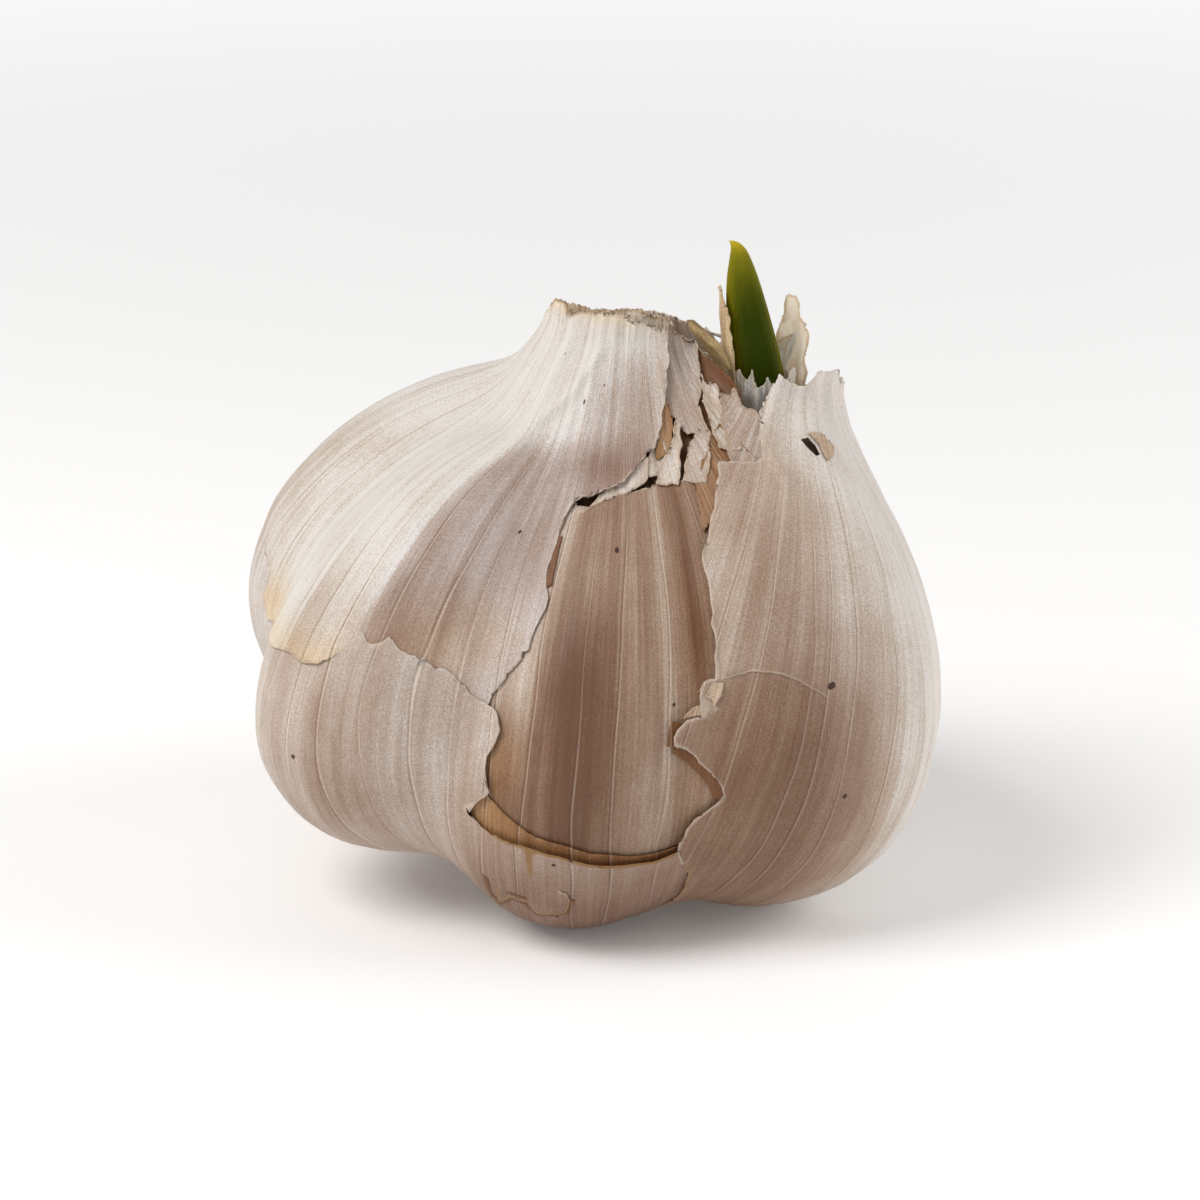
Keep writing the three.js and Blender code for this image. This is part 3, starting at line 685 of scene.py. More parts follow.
def filtered_color(shader, patterns, light):
    """The skin's colour. It darkens from pale to deep as a filter does, unevenly by the patterns. A light
    above 1 lightens the pale end, which is painted light.
    """
    settings = bpy.context.scene.garlic_skin
    deep = shader.attribute("deep")
    for pattern, low, strength in patterns:
        deep = shader.maths("ADD", deep, shader.ramp(pattern, low, 1 - low, -strength, strength))
    filter_ramp = shader.add("ShaderNodeValToRGB", {0: deep})
    stops = filter_ramp.color_ramp.elements
    for share in (0.25, 0.5, 0.75):
        stops.new(share)
    # Painted light: light scales the pale colour up for pieces that stand in shade.
    pale, full = light * np.array(settings.pale), np.array(settings.deep)
    for stop in stops:
        stop.color = (*(pale * (full / pale) ** stop.position), 1.0)
    color = filter_ramp.outputs[0]
    for tone, cast in (("mauve", MAUVE_CAST), ("tan", TAN_CAST)):
        color = shader.blend(shader.attribute(tone), color, shader.blend(1.0, color, cast, "MULTIPLY"))
    return color


def veined_color(shader, color, grain, vein):
    """Draws main and fine veins over a colour: a pale crest, partly a painted highlight, and a painted shade
    line beside each main vein. Gives the colour, and a mask that is 1 on a vein.
    """
    settings = bpy.context.scene.garlic_skin
    separate = shader.add("ShaderNodeSeparateXYZ", {0: grain})
    warp = shader.fibres(grain, 0.12, 0.035, 2.0)
    across = shader.maths("MULTIPLY_ADD", separate.outputs[0], 1 / settings.vein_spacing, warp)
    fade = shader.ramp(shader.fibres(grain, 0.3, 0.03, 1.0), 0.3, 0.6, 0.35, 1.0)
    crest = shader.maths("MULTIPLY", vein_lines(shader, across, 0.0), fade)
    # Painted shade: the same vein lines set a little to one side, for the darker line beside each vein.
    shade = shader.maths("MULTIPLY", vein_lines(shader, across, PAINTED_SHADE_SHIFT), fade)
    finer = vein_lines(shader, shader.maths("MULTIPLY", across, FINE_VEINS), 0.5)
    crest = shader.maths("MAXIMUM", crest, shader.maths("MULTIPLY", finer, 0.3))
    color = shader.blend(shader.maths("MULTIPLY", shade, vein), color, VEIN_PAINTED_SHADE, "MULTIPLY")
    # The crest's paler colour, partly a painted highlight.
    pale_vein_and_highlight = shader.blend(0.22, shader.blend(1.0, color, VEIN_CAST, "MULTIPLY"), tuple(settings.pale))
    return shader.blend(shader.maths("MULTIPLY", crest, vein), color, pale_vein_and_highlight), crest


def edged_color(shader, color):
    """Lightens a skin's torn rim, and browns it where it is burnt."""
    settings = bpy.context.scene.garlic_skin
    rim = shader.attribute("rim")
    untanned = shader.ramp(shader.attribute("tan"), 0.3, 0.7, 1.0, 0.0)
    edge = shader.maths("MULTIPLY", shader.ramp(rim, *RIM_WIDTH, 0.0, 0.4), untanned)
    color = shader.blend(edge, color, tuple(a * b for a, b in zip(settings.pale, RIM_CAST)))
    burnt = shader.maths("MULTIPLY", shader.ramp(rim, *BURNT_WIDTH), shader.attribute("burnt"))
    return shader.blend(burnt, color, tuple(settings.ochre))


def spotted_color(shader, color, grain, place, spots):
    """Adds small scattered dots, and the dark specks of a list."""
    dots = shader.specks(place, scale=230.0, chance=0.2, size=0.04)
    for azimuth, run, size in spots:
        point = MEMBRANE.point(np.array([azimuth]), np.array([run]))
        angle = vein_angle(point, TIP_POLE if azimuth > TIP_SIDE else NECK_POLE)[0]
        near = shader.distance(grain, (angle * GRAIN_WIDTH, run * MEMBRANE.SCALE[1], 0.0))
        uneven = shader.maths("MULTIPLY_ADD", shader.noise(place, 1500.0), size, near)
        dots = shader.maths("MAXIMUM", dots, shader.ramp(uneven, size * 1.1, size * 0.9))
    return shader.blend(dots, color, SPECK_BROWN)


def skin_material(name, streaks=0.07, vein=0.62, roughness=0.5, glow=0.08, light=1.0, spots=()):
    """Dry papery skin with veins, fibres, grain and specks; the veins carry a painted shade line. A light
    above 1 makes a lighter copy of the skin: painted light.
    """
    shader = Shader(name)
    grain, place = shader.grain(), shader.place()
    broad = shader.fibres(grain, 0.55, 0.03, 3.0)
    narrow = shader.fibres(grain, 3.2, 0.06, 3.0)
    cloudy = shader.noise(place, 190.0, 4.0)
    fleck = shader.noise(place, 6800.0, 1.0, 0.7)
    # pattern, value where it starts, strength
    patterns = [(broad, 0.3, streaks), (narrow, 0.3, 0.7 * streaks), (cloudy, 0.3, 0.045),
                (fleck, 0.25, 0.1)]
    color = filtered_color(shader, patterns, light)
    color, crest = veined_color(shader, color, grain, vein)
    color = spotted_color(shader, edged_color(shader, color), grain, place, spots)
    shader.feed(shader.surface.inputs["Base Color"], color)
    shader.surface.inputs["Roughness"].default_value = roughness
    shader.surface.inputs["Specular IOR Level"].default_value = 0.3
    shader.surface.inputs["Subsurface Weight"].default_value = glow
    shader.surface.inputs["Subsurface Radius"].default_value = (1.0, 0.6, 0.4)
    shader.surface.inputs["Subsurface Scale"].default_value = 0.001
    crinkle = shader.noise(place, 620.0, 3.0)
    height = shader.maths("MULTIPLY_ADD", narrow, 0.5, shader.maths("MULTIPLY", crinkle, 0.3))
    height = shader.maths("MULTIPLY_ADD", fleck, 0.1, height)
    height = shader.maths("MULTIPLY_ADD", crest, 0.7, height)
    shader.bump(height, strength=0.6, distance=0.00016)
    return shader.material


def plain_material(name, first, second, scale, roughness, bump, stretch=(1, 1, 1), turn=0):
    """Mottled plant matter: two colours in a noise, with a rough surface."""
    shader = Shader(name)
    turned = {"Vector": shader.place(), "Rotation": (0.0, -math.radians(turn), 0.0)}
    place = shader.scaled(shader.add("ShaderNodeMapping", turned).outputs["Vector"], *stretch)
    cloud = shader.noise(place, scale, 5.0, 0.6)
    fine = shader.noise(place, scale * 6, 3.0, 0.6)
    color = shader.blend(shader.ramp(cloud, 0.35, 0.65), first, second)
    color = shader.blend(shader.ramp(fine, 0.35, 0.75, 0.0, 0.5), color, tuple(c * 0.45 for c in first))
    shader.feed(shader.surface.inputs["Base Color"], color)
    shader.surface.inputs["Roughness"].default_value = roughness
    shader.bump(shader.maths("MULTIPLY_ADD", cloud, 1.5, fine), strength=bump, distance=0.0003)
    return shader.material


def shoot_material():
    """Green leaf: dark in front, and lighter at its sides, which is painted light; yellow at its tip."""
    settings = bpy.context.scene.garlic_shoot
    shader = Shader("shoot")
    grain = shader.grain()
    separate = shader.add("ShaderNodeSeparateXYZ", {0: grain})
    around, along = separate.outputs[0], separate.outputs[1]
    stripes = shader.fibres(grain, 60.0, 1.2, 2.0)
    cloud = shader.fibres(grain, 7.0, 5.0, 3.0)
    fine = shader.fibres(grain, 220.0, 60.0, 1.0)
    aside = shader.maths("ABSOLUTE", shader.maths("SUBTRACT", around, 0.53))
    aside = shader.maths("MULTIPLY_ADD", fine, 0.16, aside)
    # Painted light: the sides of the round shoot turn to the light green, its front stays dark.
    lit = shader.ramp(shader.maths("MULTIPLY_ADD", stripes, 0.14, aside), 0.22, 0.42)
    color = shader.blend(lit, tuple(settings.dark), tuple(settings.light))
    high = shader.maths("MULTIPLY_ADD", cloud, 0.12, along)
    color = shader.blend(shader.ramp(high, 0.42, 0.92), color, SHOOT_UPPER)
    color = shader.blend(shader.ramp(high, 0.74, 1.02), color, tuple(settings.tip))
    color = shader.blend(shader.ramp(fine, 0.35, 0.65, 0.0, 0.45), color, (0.6, 0.6, 0.6), "MULTIPLY")
    shader.feed(shader.surface.inputs["Base Color"], color)
    shader.surface.inputs["Roughness"].default_value = 0.5
    shader.surface.inputs["Specular IOR Level"].default_value = 0.05
    shader.bump(stripes, strength=0.35, distance=0.0001)
    return shader.material


# Outlines, as places on the bulb.

RIGHT_TEAR = [
    (12, 0.13), (12, 0.275), (15, 0.317), (15, 0.354), (14, 0.376), (12, 0.401), (13, 0.428), (15, 0.44),
    (17, 0.452), (18.5, 0.464), (18, 0.477), (16, 0.492), (13.5, 0.508), (12, 0.514), (9.8, 0.516),
    (10, 0.526), (12, 0.541), (15, 0.546), (17, 0.552), (14, 0.566), (16, 0.577), (18, 0.582), (18, 0.66),
    (17.5, 0.69), (20, 0.713), (24, 0.757), (27, 0.784), (37, 0.784), (39, 0.797), (43.5, 0.83), (46, 0.84),
]
LEFT_TEAR = [
    (-26, 0.543), (-24, 0.57), (-20, 0.602), (-19, 0.622), (-18, 0.646), (-20.5, 0.666), (-22, 0.70),
    (-22, 0.735), (-20, 0.742), (-16, 0.745), (-9, 0.755), (-4, 0.767), (1, 0.786), (6, 0.80), (9, 0.818),
    (9, 0.84), (12, 0.877), (10, 0.914),
]
BAND = [
    (-54, 0.6), (-51, 0.622), (-48, 0.617), (-45.4, 0.606), (-44, 0.613), (-42, 0.603), (-40, 0.597),
    (-38, 0.592), (-36, 0.581), (-34, 0.577), (-30, 0.559), (-23, 0.54),
]
PANEL_EDGE = [
    (-22, 0.528), (-22.5, 0.512), (-24.5, 0.498), (-24, 0.479), (-22.5, 0.466), (-26, 0.452),
    (-28.5, 0.443), (-28, 0.435), (-24, 0.425), (-15, 0.423), (-9, 0.415), (-1, 0.401), (8, 0.394),
    (12, 0.401),
]
FOLD = [(-55, 0.57), (-50, 0.624), (-48, 0.649), (-46, 0.678), (-45, 0.708), (-45, 0.745), (-52, 0.821),
        (-47, 0.889)]
CREASE_LINE = [(-36, 0.921), (-40, 0.872), (-48, 0.828)]

# The cut stalk, as a rolled grid
STALK_GRID = (120, 60)
STALK_TOP_SHARE = 0.6  # of the grid's rows, on the cut
STALK_HEIGHTS = (49.3, 4.9)  # top and foot
STALK_RADII = (2.4, 4.5)  # below and above the flare
STALK_FLARE = (36, 49)  # heights
STALK_UNEVENNESS = 0.08
LEAST_RING = 0.02

# The shoot's stations: x, y, z, radius
SHOOT = [
    (15.4, -3, 42, 2),
    (14.7, -3, 45.5, 2.15),
    (14.2, -3, 48, 2.1),
    (13.8, -3, 50, 1.95),
    (13.4, -3, 52.3, 1.68),
    (13.1, -3, 54.3, 1.34),
    (12.9, -3, 55.8, 0.96),
    (12.7, -3.05, 56.8, 0.64),
    (12.3, -3.1, 57.4, 0.34),
    (11.9, -3.15, 57.5, 0.1),
]
SHOOT_SIDES = 48
SHOOT_KEEL = 0.05
SHOOT_RIB = 0.012
SHOOT_FLATNESS = 0.82
THINNEST_SHOOT = 0.05

# azimuth, run and size in millimetres of the dark specks
OUTER_SPECKS = [
    (-33, 0.855, 0.6),
    (-32, 0.705, 0.35),
    (36, 0.578, 0.6),
    (38, 0.474, 0.45),
    (-56, 0.496, 0.42),
    (-26, 0.88, 0.35),
    (-56, 0.909, 0.3),
    (-10, 0.405, 0.3),
]
INNER_SPECKS = [(-4, 0.698, 0.42), (10, 0.555, 0.3)]


# Zones of colour: deep darkens a skin, mauve and tan tint it, burnt browns its torn edge. Some of the
# darkening is painted shade, as marked.


def patches(azimuth, run, rows):
    """The sum of soft ovals, each of a strength, at a place, with half sizes and a softness of its edge."""
    total = 0.0
    for strength, at_azimuth, at_run, wide, tall, soft in rows:
        distance = np.hypot((azimuth - at_azimuth) / wide, (run - at_run) / tall)
        total = total + strength * (1 - smooth(1 - soft, 1 + soft, distance))
    return total


def stripe(angle, at, width):
    """A soft stripe along the veins, 1 in its middle."""
    return np.exp(-(((angle - at) / width) ** 2))


def left_tones(azimuth, run, angle):
    below = smooth(-52, -46, azimuth) * smooth(0.82, 0.775, run)
    left_end = smooth(-80, -98, azimuth) * smooth(0.82, 0.74, run)
    top = smooth(0.94, 0.96, run)
    deep = 0.01 + 0.34 * below + 0.16 * left_end
    deep += below * patches(azimuth, run, [(0.12, -43, 0.61, 6, 0.07, 0.7),
                                           (-0.14, -27, 0.6, 7, 0.06, 0.8)])
    deep += patches(azimuth, run, [(0.28, -5, 0.84, 24, 0.08, 0.7), (0.1, -6, 0.79, 16, 0.035, 0.5)])
    deep += patches(azimuth, run, [(0.2, -57, 0.62, 7, 0.05, 0.8)])
    mauve = 0.95 * below + patches(azimuth, run, [(0.6, -10, 0.83, 20, 0.08, 0.7)])
    flap = smooth(-58, -76, azimuth) + patches(azimuth, run, [(1, -57, 0.59, 8, 0.03, 0.8)])
    tan = 0.7 * smooth(0.625, 0.58, run) * np.clip(flap, 0, 1) * smooth(-99, -92, azimuth)
    tan += patches(azimuth, run, [(0.45, -36, 0.6, 13, 0.04, 0.8)]) + 0.6 * smooth(0.94, 0.975, run)
    burnt = (0.25 + 0.4 * smooth(-30, -60, azimuth)) * top
    return {"deep": deep, "mauve": mauve, "tan": tan, "burnt": burnt}


def lower_tones(azimuth, run, angle):
    deep = 0.25 - 0.08 * smooth(-62, -80, azimuth) + patches(azimuth, run, [(0.16, -50, 0.48, 9, 0.1, 0.8)])
    deep += 0.16 * smooth(-33, -24, azimuth) * smooth(0.53, 0.43, run)
    # Its last term, darker everywhere below a run of 0.4, is painted shade under the bulb.
    deep += 0.26 * smooth(0.45, 0.34, run) * smooth(-40, -22, azimuth) + 0.12 * smooth(0.4, 0.25, run)
    mauve = 0.25 + 0.4 * smooth(-34, -16, azimuth) * smooth(0.44, 0.36, run)
    tan = patches(azimuth, run, [(0.2, -74, 0.5, 9, 0.08, 0.8)])
    burnt = 0.9 * smooth(-27, -20, azimuth) * smooth(0.45, 0.43, run) * smooth(12.5, 11, azimuth)
    return {"deep": deep, "mauve": mauve, "tan": tan, "burnt": burnt}


def right_tones(azimuth, run, angle):
    """The right skin is two plies thick above an arc, and single and darker below it."""
    arc = 0.592 - 0.0011 * np.clip(24 - azimuth, 0, 20) ** 1.6
    arc -= 0.0009 * np.clip(azimuth - 27, 0, 99) ** 1.55
    single = smooth(0.003, -0.003, run - arc) * smooth(40, 30, azimuth)
    deep = 0.01 + 0.28 * smooth(62, 34, azimuth) * smooth(0.9, 0.8, run) + 0.07 * single
    deep += patches(azimuth, run, [(0.38, 26, 0.41, 17, 0.19, 0.75), (0.1, 29, 0.7, 6, 0.08, 0.8)])
    deep += patches(azimuth, run, [(0.1, 31, 0.53, 11, 0.07, 0.8), (-0.08, 20, 0.63, 4, 0.06, 0.8)])
    mauve = 0.25 + patches(azimuth, run, [(0.3, 34, 0.6, 10, 0.1, 0.8)])
    burnt = 0.8 * smooth(19, 16, azimuth) * smooth(0.4, 0.37, run) * smooth(0.26, 0.3, run)
    return {"deep": deep, "mauve": mauve, "tan": 0.12, "burnt": burnt}


def panel_tones(azimuth, run, angle):
    low = smooth(0.68, 0.58, run)
    deep = 0.58 + 0.5 * low * stripe(angle, -5.5, 6) - 0.16 * stripe(angle, 10.5, 3.5)
    deep += 0.12 * low * smooth(-8, -16, angle) * smooth(0.5, 0.47, run)
    deep += 0.3 * stripe(angle, 17, 2.2) * smooth(0.55, 0.6, run)
    deep -= 0.3 * smooth(-13, -21, azimuth) * smooth(0.5, 0.58, run)
    tan = 0.12 + 0.35 * stripe(angle, 17, 3) + patches(azimuth, run, [(0.6, -23, 0.49, 5, 0.04, 0.7)])
    outside = np.clip(smooth(-40, -60, azimuth) + smooth(40, 60, azimuth), 0, 1)
    return {"deep": mix(deep, 0.3, outside), "mauve": 0.2, "tan": tan}


def back_tones(azimuth, run, angle):
    deep = 0.16 + 0.16 * fractal(angle * 0.05, run * 3, 5) + 0.2 * smooth(0.6, 0.4, run)
    return {"deep": deep, "mauve": 0.3, "tan": 0.4 * smooth(0.9, 0.95, run)}


def double_tones(azimuth, run, angle):
    return {**right_tones(azimuth, run + 0.01, angle), "burnt": 0.12}


def scrap_tones(azimuth, run, angle):
    return {**lower_tones(azimuth, run, angle), "burnt": 0.95 * smooth(0.37, 0.35, run)}


def hem_tones(azimuth, run, angle):
    return {"deep": 0.5 + 0.3 * smooth(-22, -8, azimuth), "tan": 1.0}


def plain_tones(deep, mauve=0.2, tan=0.0, burnt=0.4):
    return lambda azimuth, run, angle: {"deep": deep, "mauve": mauve, "tan": tan, "burnt": burnt}


AMBER = plain_tones(0.62, 0.0, 0.9, 0.3)
BLUSH = plain_tones(0.27, 0.5, 0.15, 0.3)
BROWN = plain_tones(0.5, 0.0, 0.9, 0.5)
CREAM = plain_tones(0.28, 0.0, 0.45, 0.2)
# Near-black brown of the slot sheets: painted shade.
PAINTED_SHADE_TONES = plain_tones(0.95, 0.0, 0.9, 0.0)
PALE = plain_tones(0.15, 0.3, 0.22, 0.3)
RUST = plain_tones(1.0, 0.0, 0.95, 0.0)
STRAW = plain_tones(0.14, 0.0, 0.75, 0.3)
WHITE = plain_tones(0.1, 0.3, 0.15, 0.2)


# How far each skin lies under the bulb's surface, and how far its torn edge lifts off, in millimetres.


def left_depth(azimuth, run):
    depth = mix(0.26, 0.08, smooth(-46, -56, azimuth))
    depth += 0.6 * smooth(-93, -101, azimuth) * smooth(0.66, 0.6, run)
    return depth + 0.5 * smooth(0.95, 0.975, run) * smooth(-64, -50, azimuth)


def lower_depth(azimuth, run):
    return mix(0.08, 0.3, smooth(-51, -56, azimuth)) + 0.5 * smooth(0.63, 0.67, run)


def right_lift(azimuth, run, rim):
    low = 0.45 * smooth(20, 15, azimuth) * smooth(0.5, 0.53, run)
    return np.exp(-rim / 0.8) * (low + 0.2 * smooth(0.72, 0.78, run))


def double_depth(azimuth, run):
    return mix(-0.07, 0.3, np.maximum(smooth(0.6, 0.68, run), smooth(33, 40, azimuth)))


def scrap_depth(azimuth, run):
    return mix(-0.06, 0.3, smooth(0.345, 0.36, run) * smooth(-8.5, -10.5, azimuth))


def panel_depth(azimuth, run):
    """The inner skin lies close under the torn edges in front, and deeper where the outer skins hide it."""
    front = smooth(-34, -26, azimuth) * smooth(24, 16, azimuth)
    front *= smooth(0.36, 0.4, run) * smooth(0.8, 0.77, run)
    shallow = mix(0.85, 0.5, smooth(0.42, 0.5, run))
    return mix(1.2, shallow, front)


def edge_lift(height, reach, azimuths, runs):
    """A lift that fades within a reach of the torn edge, past a range of azimuths and a range of runs."""
    return lambda azimuth, run, rim: (
        height * np.exp(-rim / reach) * smooth(*azimuths, azimuth) * smooth(*runs, run)
    )


def leaf_lift(azimuth, run, rim):
    return 0.3 * np.exp(-rim / 0.6) * smooth(0.77, 0.79, run)


# The skins, one row each.

FINE_CELL = (0.12, 0.16)
CURL = {"pole": TIP_POLE, "lift": 0.3, "ragged": 0.2, "cell": FINE_CELL, "tones": CREAM}
# Thin near-black sheets in slits and under torn edges: painted shade where the gaps look dark.
PAINTED_SHADE_SLOT = {"ragged": 0.1, "cell": FINE_CELL, "tones": PAINTED_SHADE_TONES}

OUTER_SKINS = [
    sheet(
        "outer_skin_left",
        [(-146, 0.56), (-120, 0.6), (-100, 0.625), (-95, 0.62), (-90.5, 0.603), (-92, 0.583),
         (-89, 0.561), (-80, 0.57), (-68, 0.58), (-61, 0.587), (-57, 0.583), (-53.5, 0.586), (-50, 0.6),
         (-40, 0.56), (-30, 0.525)]
        + LEFT_TEAR
        + [(10, 0.955), (4, 0.959), (-8, 0.962), (-25, 0.969), (-42, 0.969), (-58, 0.965), (-64, 0.955),
           (-68, 0.972), (-84, 0.966), (-92, 0.935), (-110, 0.925), (-146, 0.92)],
        "skin_left", seed=11,
        ragged=lambda azimuth, run: mix(0.14, 0.4, smooth(-52, -46, azimuth)),
        depth=left_depth, lift=edge_lift(0.25, 0.8, (-30, -18), (0.7, 0.75)),
        ridges=[(FOLD, 0.22, 1.0), (CREASE_LINE, 0.3, 0.5)],
        tones=left_tones,
    ),
    sheet(
        "outer_skin_lower",
        [(-264, 0.125), (-264, 0.5), (-220, 0.52), (-180, 0.545), (-140, 0.6), (-100, 0.68),
         (-84, 0.66), (-66, 0.6)]
        + BAND
        + PANEL_EDGE
        + [(14, 0.376), (15.5, 0.354), (15, 0.317), (12.5, 0.275), (12.5, 0.125)],
        "skin_lower", seed=23,
        ragged=lambda azimuth, run: mix(0.45, 0.1, smooth(-24, -14, azimuth) * smooth(0.37, 0.39, run)),
        depth=lower_depth, lift=edge_lift(0.3, 1.1, (-25, -16), (0.37, 0.41)),
        cuts=[([(-14.6, 0.43), (-14.3, 0.41)], 0.09), ([(-14.3, 0.41), (-14.1, 0.388)], 0.045)],
        tones=lower_tones,
    ),
    sheet(
        "outer_skin_right",
        RIGHT_TEAR
        + [(49, 0.858), (52, 0.877), (54, 0.868), (56, 0.862), (58.5, 0.862), (61, 0.872), (70, 0.868),
           (71, 0.85), (80, 0.842), (86, 0.84), (99, 0.82), (100, 0.7), (104, 0.48), (98, 0.3),
           (98, 0.125)],
        "skin_right", seed=37, pole=TIP_POLE, depth=0.0, lift=right_lift,
        ridges=[([(52, 0.87), (47.5, 0.83), (43, 0.808), (40.5, 0.79), (39.5, 0.755)], 0.4, 0.5)],
        holes=[[(49.8, 0.809), (52, 0.806), (53, 0.79), (52.2, 0.772), (50.4, 0.778), (49.2, 0.795)]],
        tones=right_tones,
    ),
    sheet(
        "outer_skin_right_double",
        [(14, 0.566), (16, 0.577), (20, 0.584), (24, 0.592), (29, 0.589), (34, 0.572), (39, 0.55),
         (44, 0.55), (44, 0.7), (19, 0.7), (17.5, 0.69), (18, 0.66), (18, 0.582)],
        seed=37, pole=TIP_POLE, ragged=0.25, depth=double_depth, tones=double_tones,
    ),
    sheet(
        "torn_curl_1",
        [(14.5, 0.549), (16.5, 0.551), (18.2, 0.566), (18.6, 0.577), (16.8, 0.575), (15.3, 0.562)],
        seed=61, depth=-0.02, **CURL,
    ),
    sheet(
        "torn_flap",
        [(52.5, 0.804), (56, 0.8), (58.5, 0.785), (55.5, 0.776), (53, 0.772), (53.6, 0.79)],
        seed=66, depth=-0.06, **CURL,
    ),
    sheet(
        "torn_curl_2",
        [(11.3, 0.541), (14.5, 0.546), (17.2, 0.553), (16, 0.558), (13.3, 0.553)],
        seed=71, depth=0.03, **CURL,
    ),
    sheet(
        "painted_shade_slot_1",
        [(8.4, 0.516), (12, 0.512), (12, 0.536), (9.4, 0.54)],
        seed=81, depth=0.12, **PAINTED_SHADE_SLOT,
    ),
    sheet(
        "painted_shade_slot_2",
        [(9.6, 0.5095), (12, 0.501), (14.2, 0.49), (16.2, 0.477), (17, 0.464), (20, 0.462), (20, 0.48),
         (15, 0.505), (11, 0.52)],
        seed=86, depth=0.12, **PAINTED_SHADE_SLOT,
    ),
    sheet(
        "painted_shade_slot_3",
        [(-24.8, 0.362), (-25, 0.332), (-23, 0.312), (-21.8, 0.315), (-23.6, 0.333), (-23.6, 0.359)],
        seed=91, depth=0.03, **PAINTED_SHADE_SLOT,
    ),
    sheet(
        "painted_shade_slot_4",
        [(-22.4, 0.7), (-20.6, 0.705), (-18.8, 0.66), (-20.8, 0.655)],
        seed=96, depth=0.3, **PAINTED_SHADE_SLOT,
    ),
    sheet(
        "painted_shade_slot_5",
        [(-22.8, 0.33), (-22.4, 0.319), (-20, 0.328), (-18.5, 0.34), (-16.4, 0.338), (-14.4, 0.316),
         (-11, 0.319), (-7.6, 0.326), (-6.2, 0.354), (-8, 0.356), (-9, 0.338), (-11, 0.331),
         (-13.6, 0.33), (-15.6, 0.352), (-19, 0.354)],
        seed=101, depth=0.01, **PAINTED_SHADE_SLOT,
    ),
    sheet(
        "outer_skin_back",
        [(94, 0.47), (96, 0.82), (112, 0.88), (124, 0.92), (180, 0.925), (223, 0.92), (223, 0.55),
         (180, 0.5), (140, 0.48)],
        "skin_back", seed=51, cell=(0.45, 1.1), tones=back_tones,
    ),
    sheet(
        "outer_skin_scrap",
        [(-22, 0.325), (-20, 0.334), (-18.5, 0.346), (-16, 0.344), (-14, 0.322), (-11, 0.325),
         (-8, 0.332), (-7, 0.356), (-7.6, 0.37), (-9.6, 0.371), (-12, 0.36), (-17, 0.37), (-22, 0.36)],
        seed=57, depth=scrap_depth, cell=(0.16, 0.22), tones=scrap_tones,
    ),
]

INNER_SKINS = [
    sheet(
        "inner_skin_wrap",
        [(182, 0.135), (-178, 0.135), (-178, 0.915), (-55, 0.92), (-30, 0.75), (-21, 0.74), (-18, 0.73),
         (-12, 0.747), (2, 0.758), (17, 0.768), (20, 0.8), (24, 0.82), (33, 0.835), (45, 0.83),
         (54, 0.83), (78, 0.825), (97, 0.82), (112, 0.9), (182, 0.915)],
        "inner_skin", seed=71, depth=panel_depth, cell=(0.3, 0.8), ragged=0.25, tones=panel_tones,
    ),
    sheet(
        "inner_skin_hem",
        [(-30, 0.4), (-31, 0.445), (-28, 0.456), (-24.5, 0.464), (-19.5, 0.447), (-16, 0.438),
         (-13.5, 0.431), (-8, 0.423), (-4, 0.4145), (4, 0.402), (9, 0.3995), (15, 0.405), (15, 0.385),
         (0, 0.38), (-15, 0.4)],
        seed=74, depth=0.5, cell=(0.16, 0.3), ragged=0.12, tones=hem_tones,
    ),
    sheet(
        "inner_skin_lining",
        [(-40, 0.68), (42, 0.68), (44, 0.83), (34, 0.88), (22, 0.93), (-40, 0.93)],
        seed=77, depth=1.9, cell=(0.5, 1.0), tones=plain_tones(0.62, 0.0, 0.7),
    ),
]

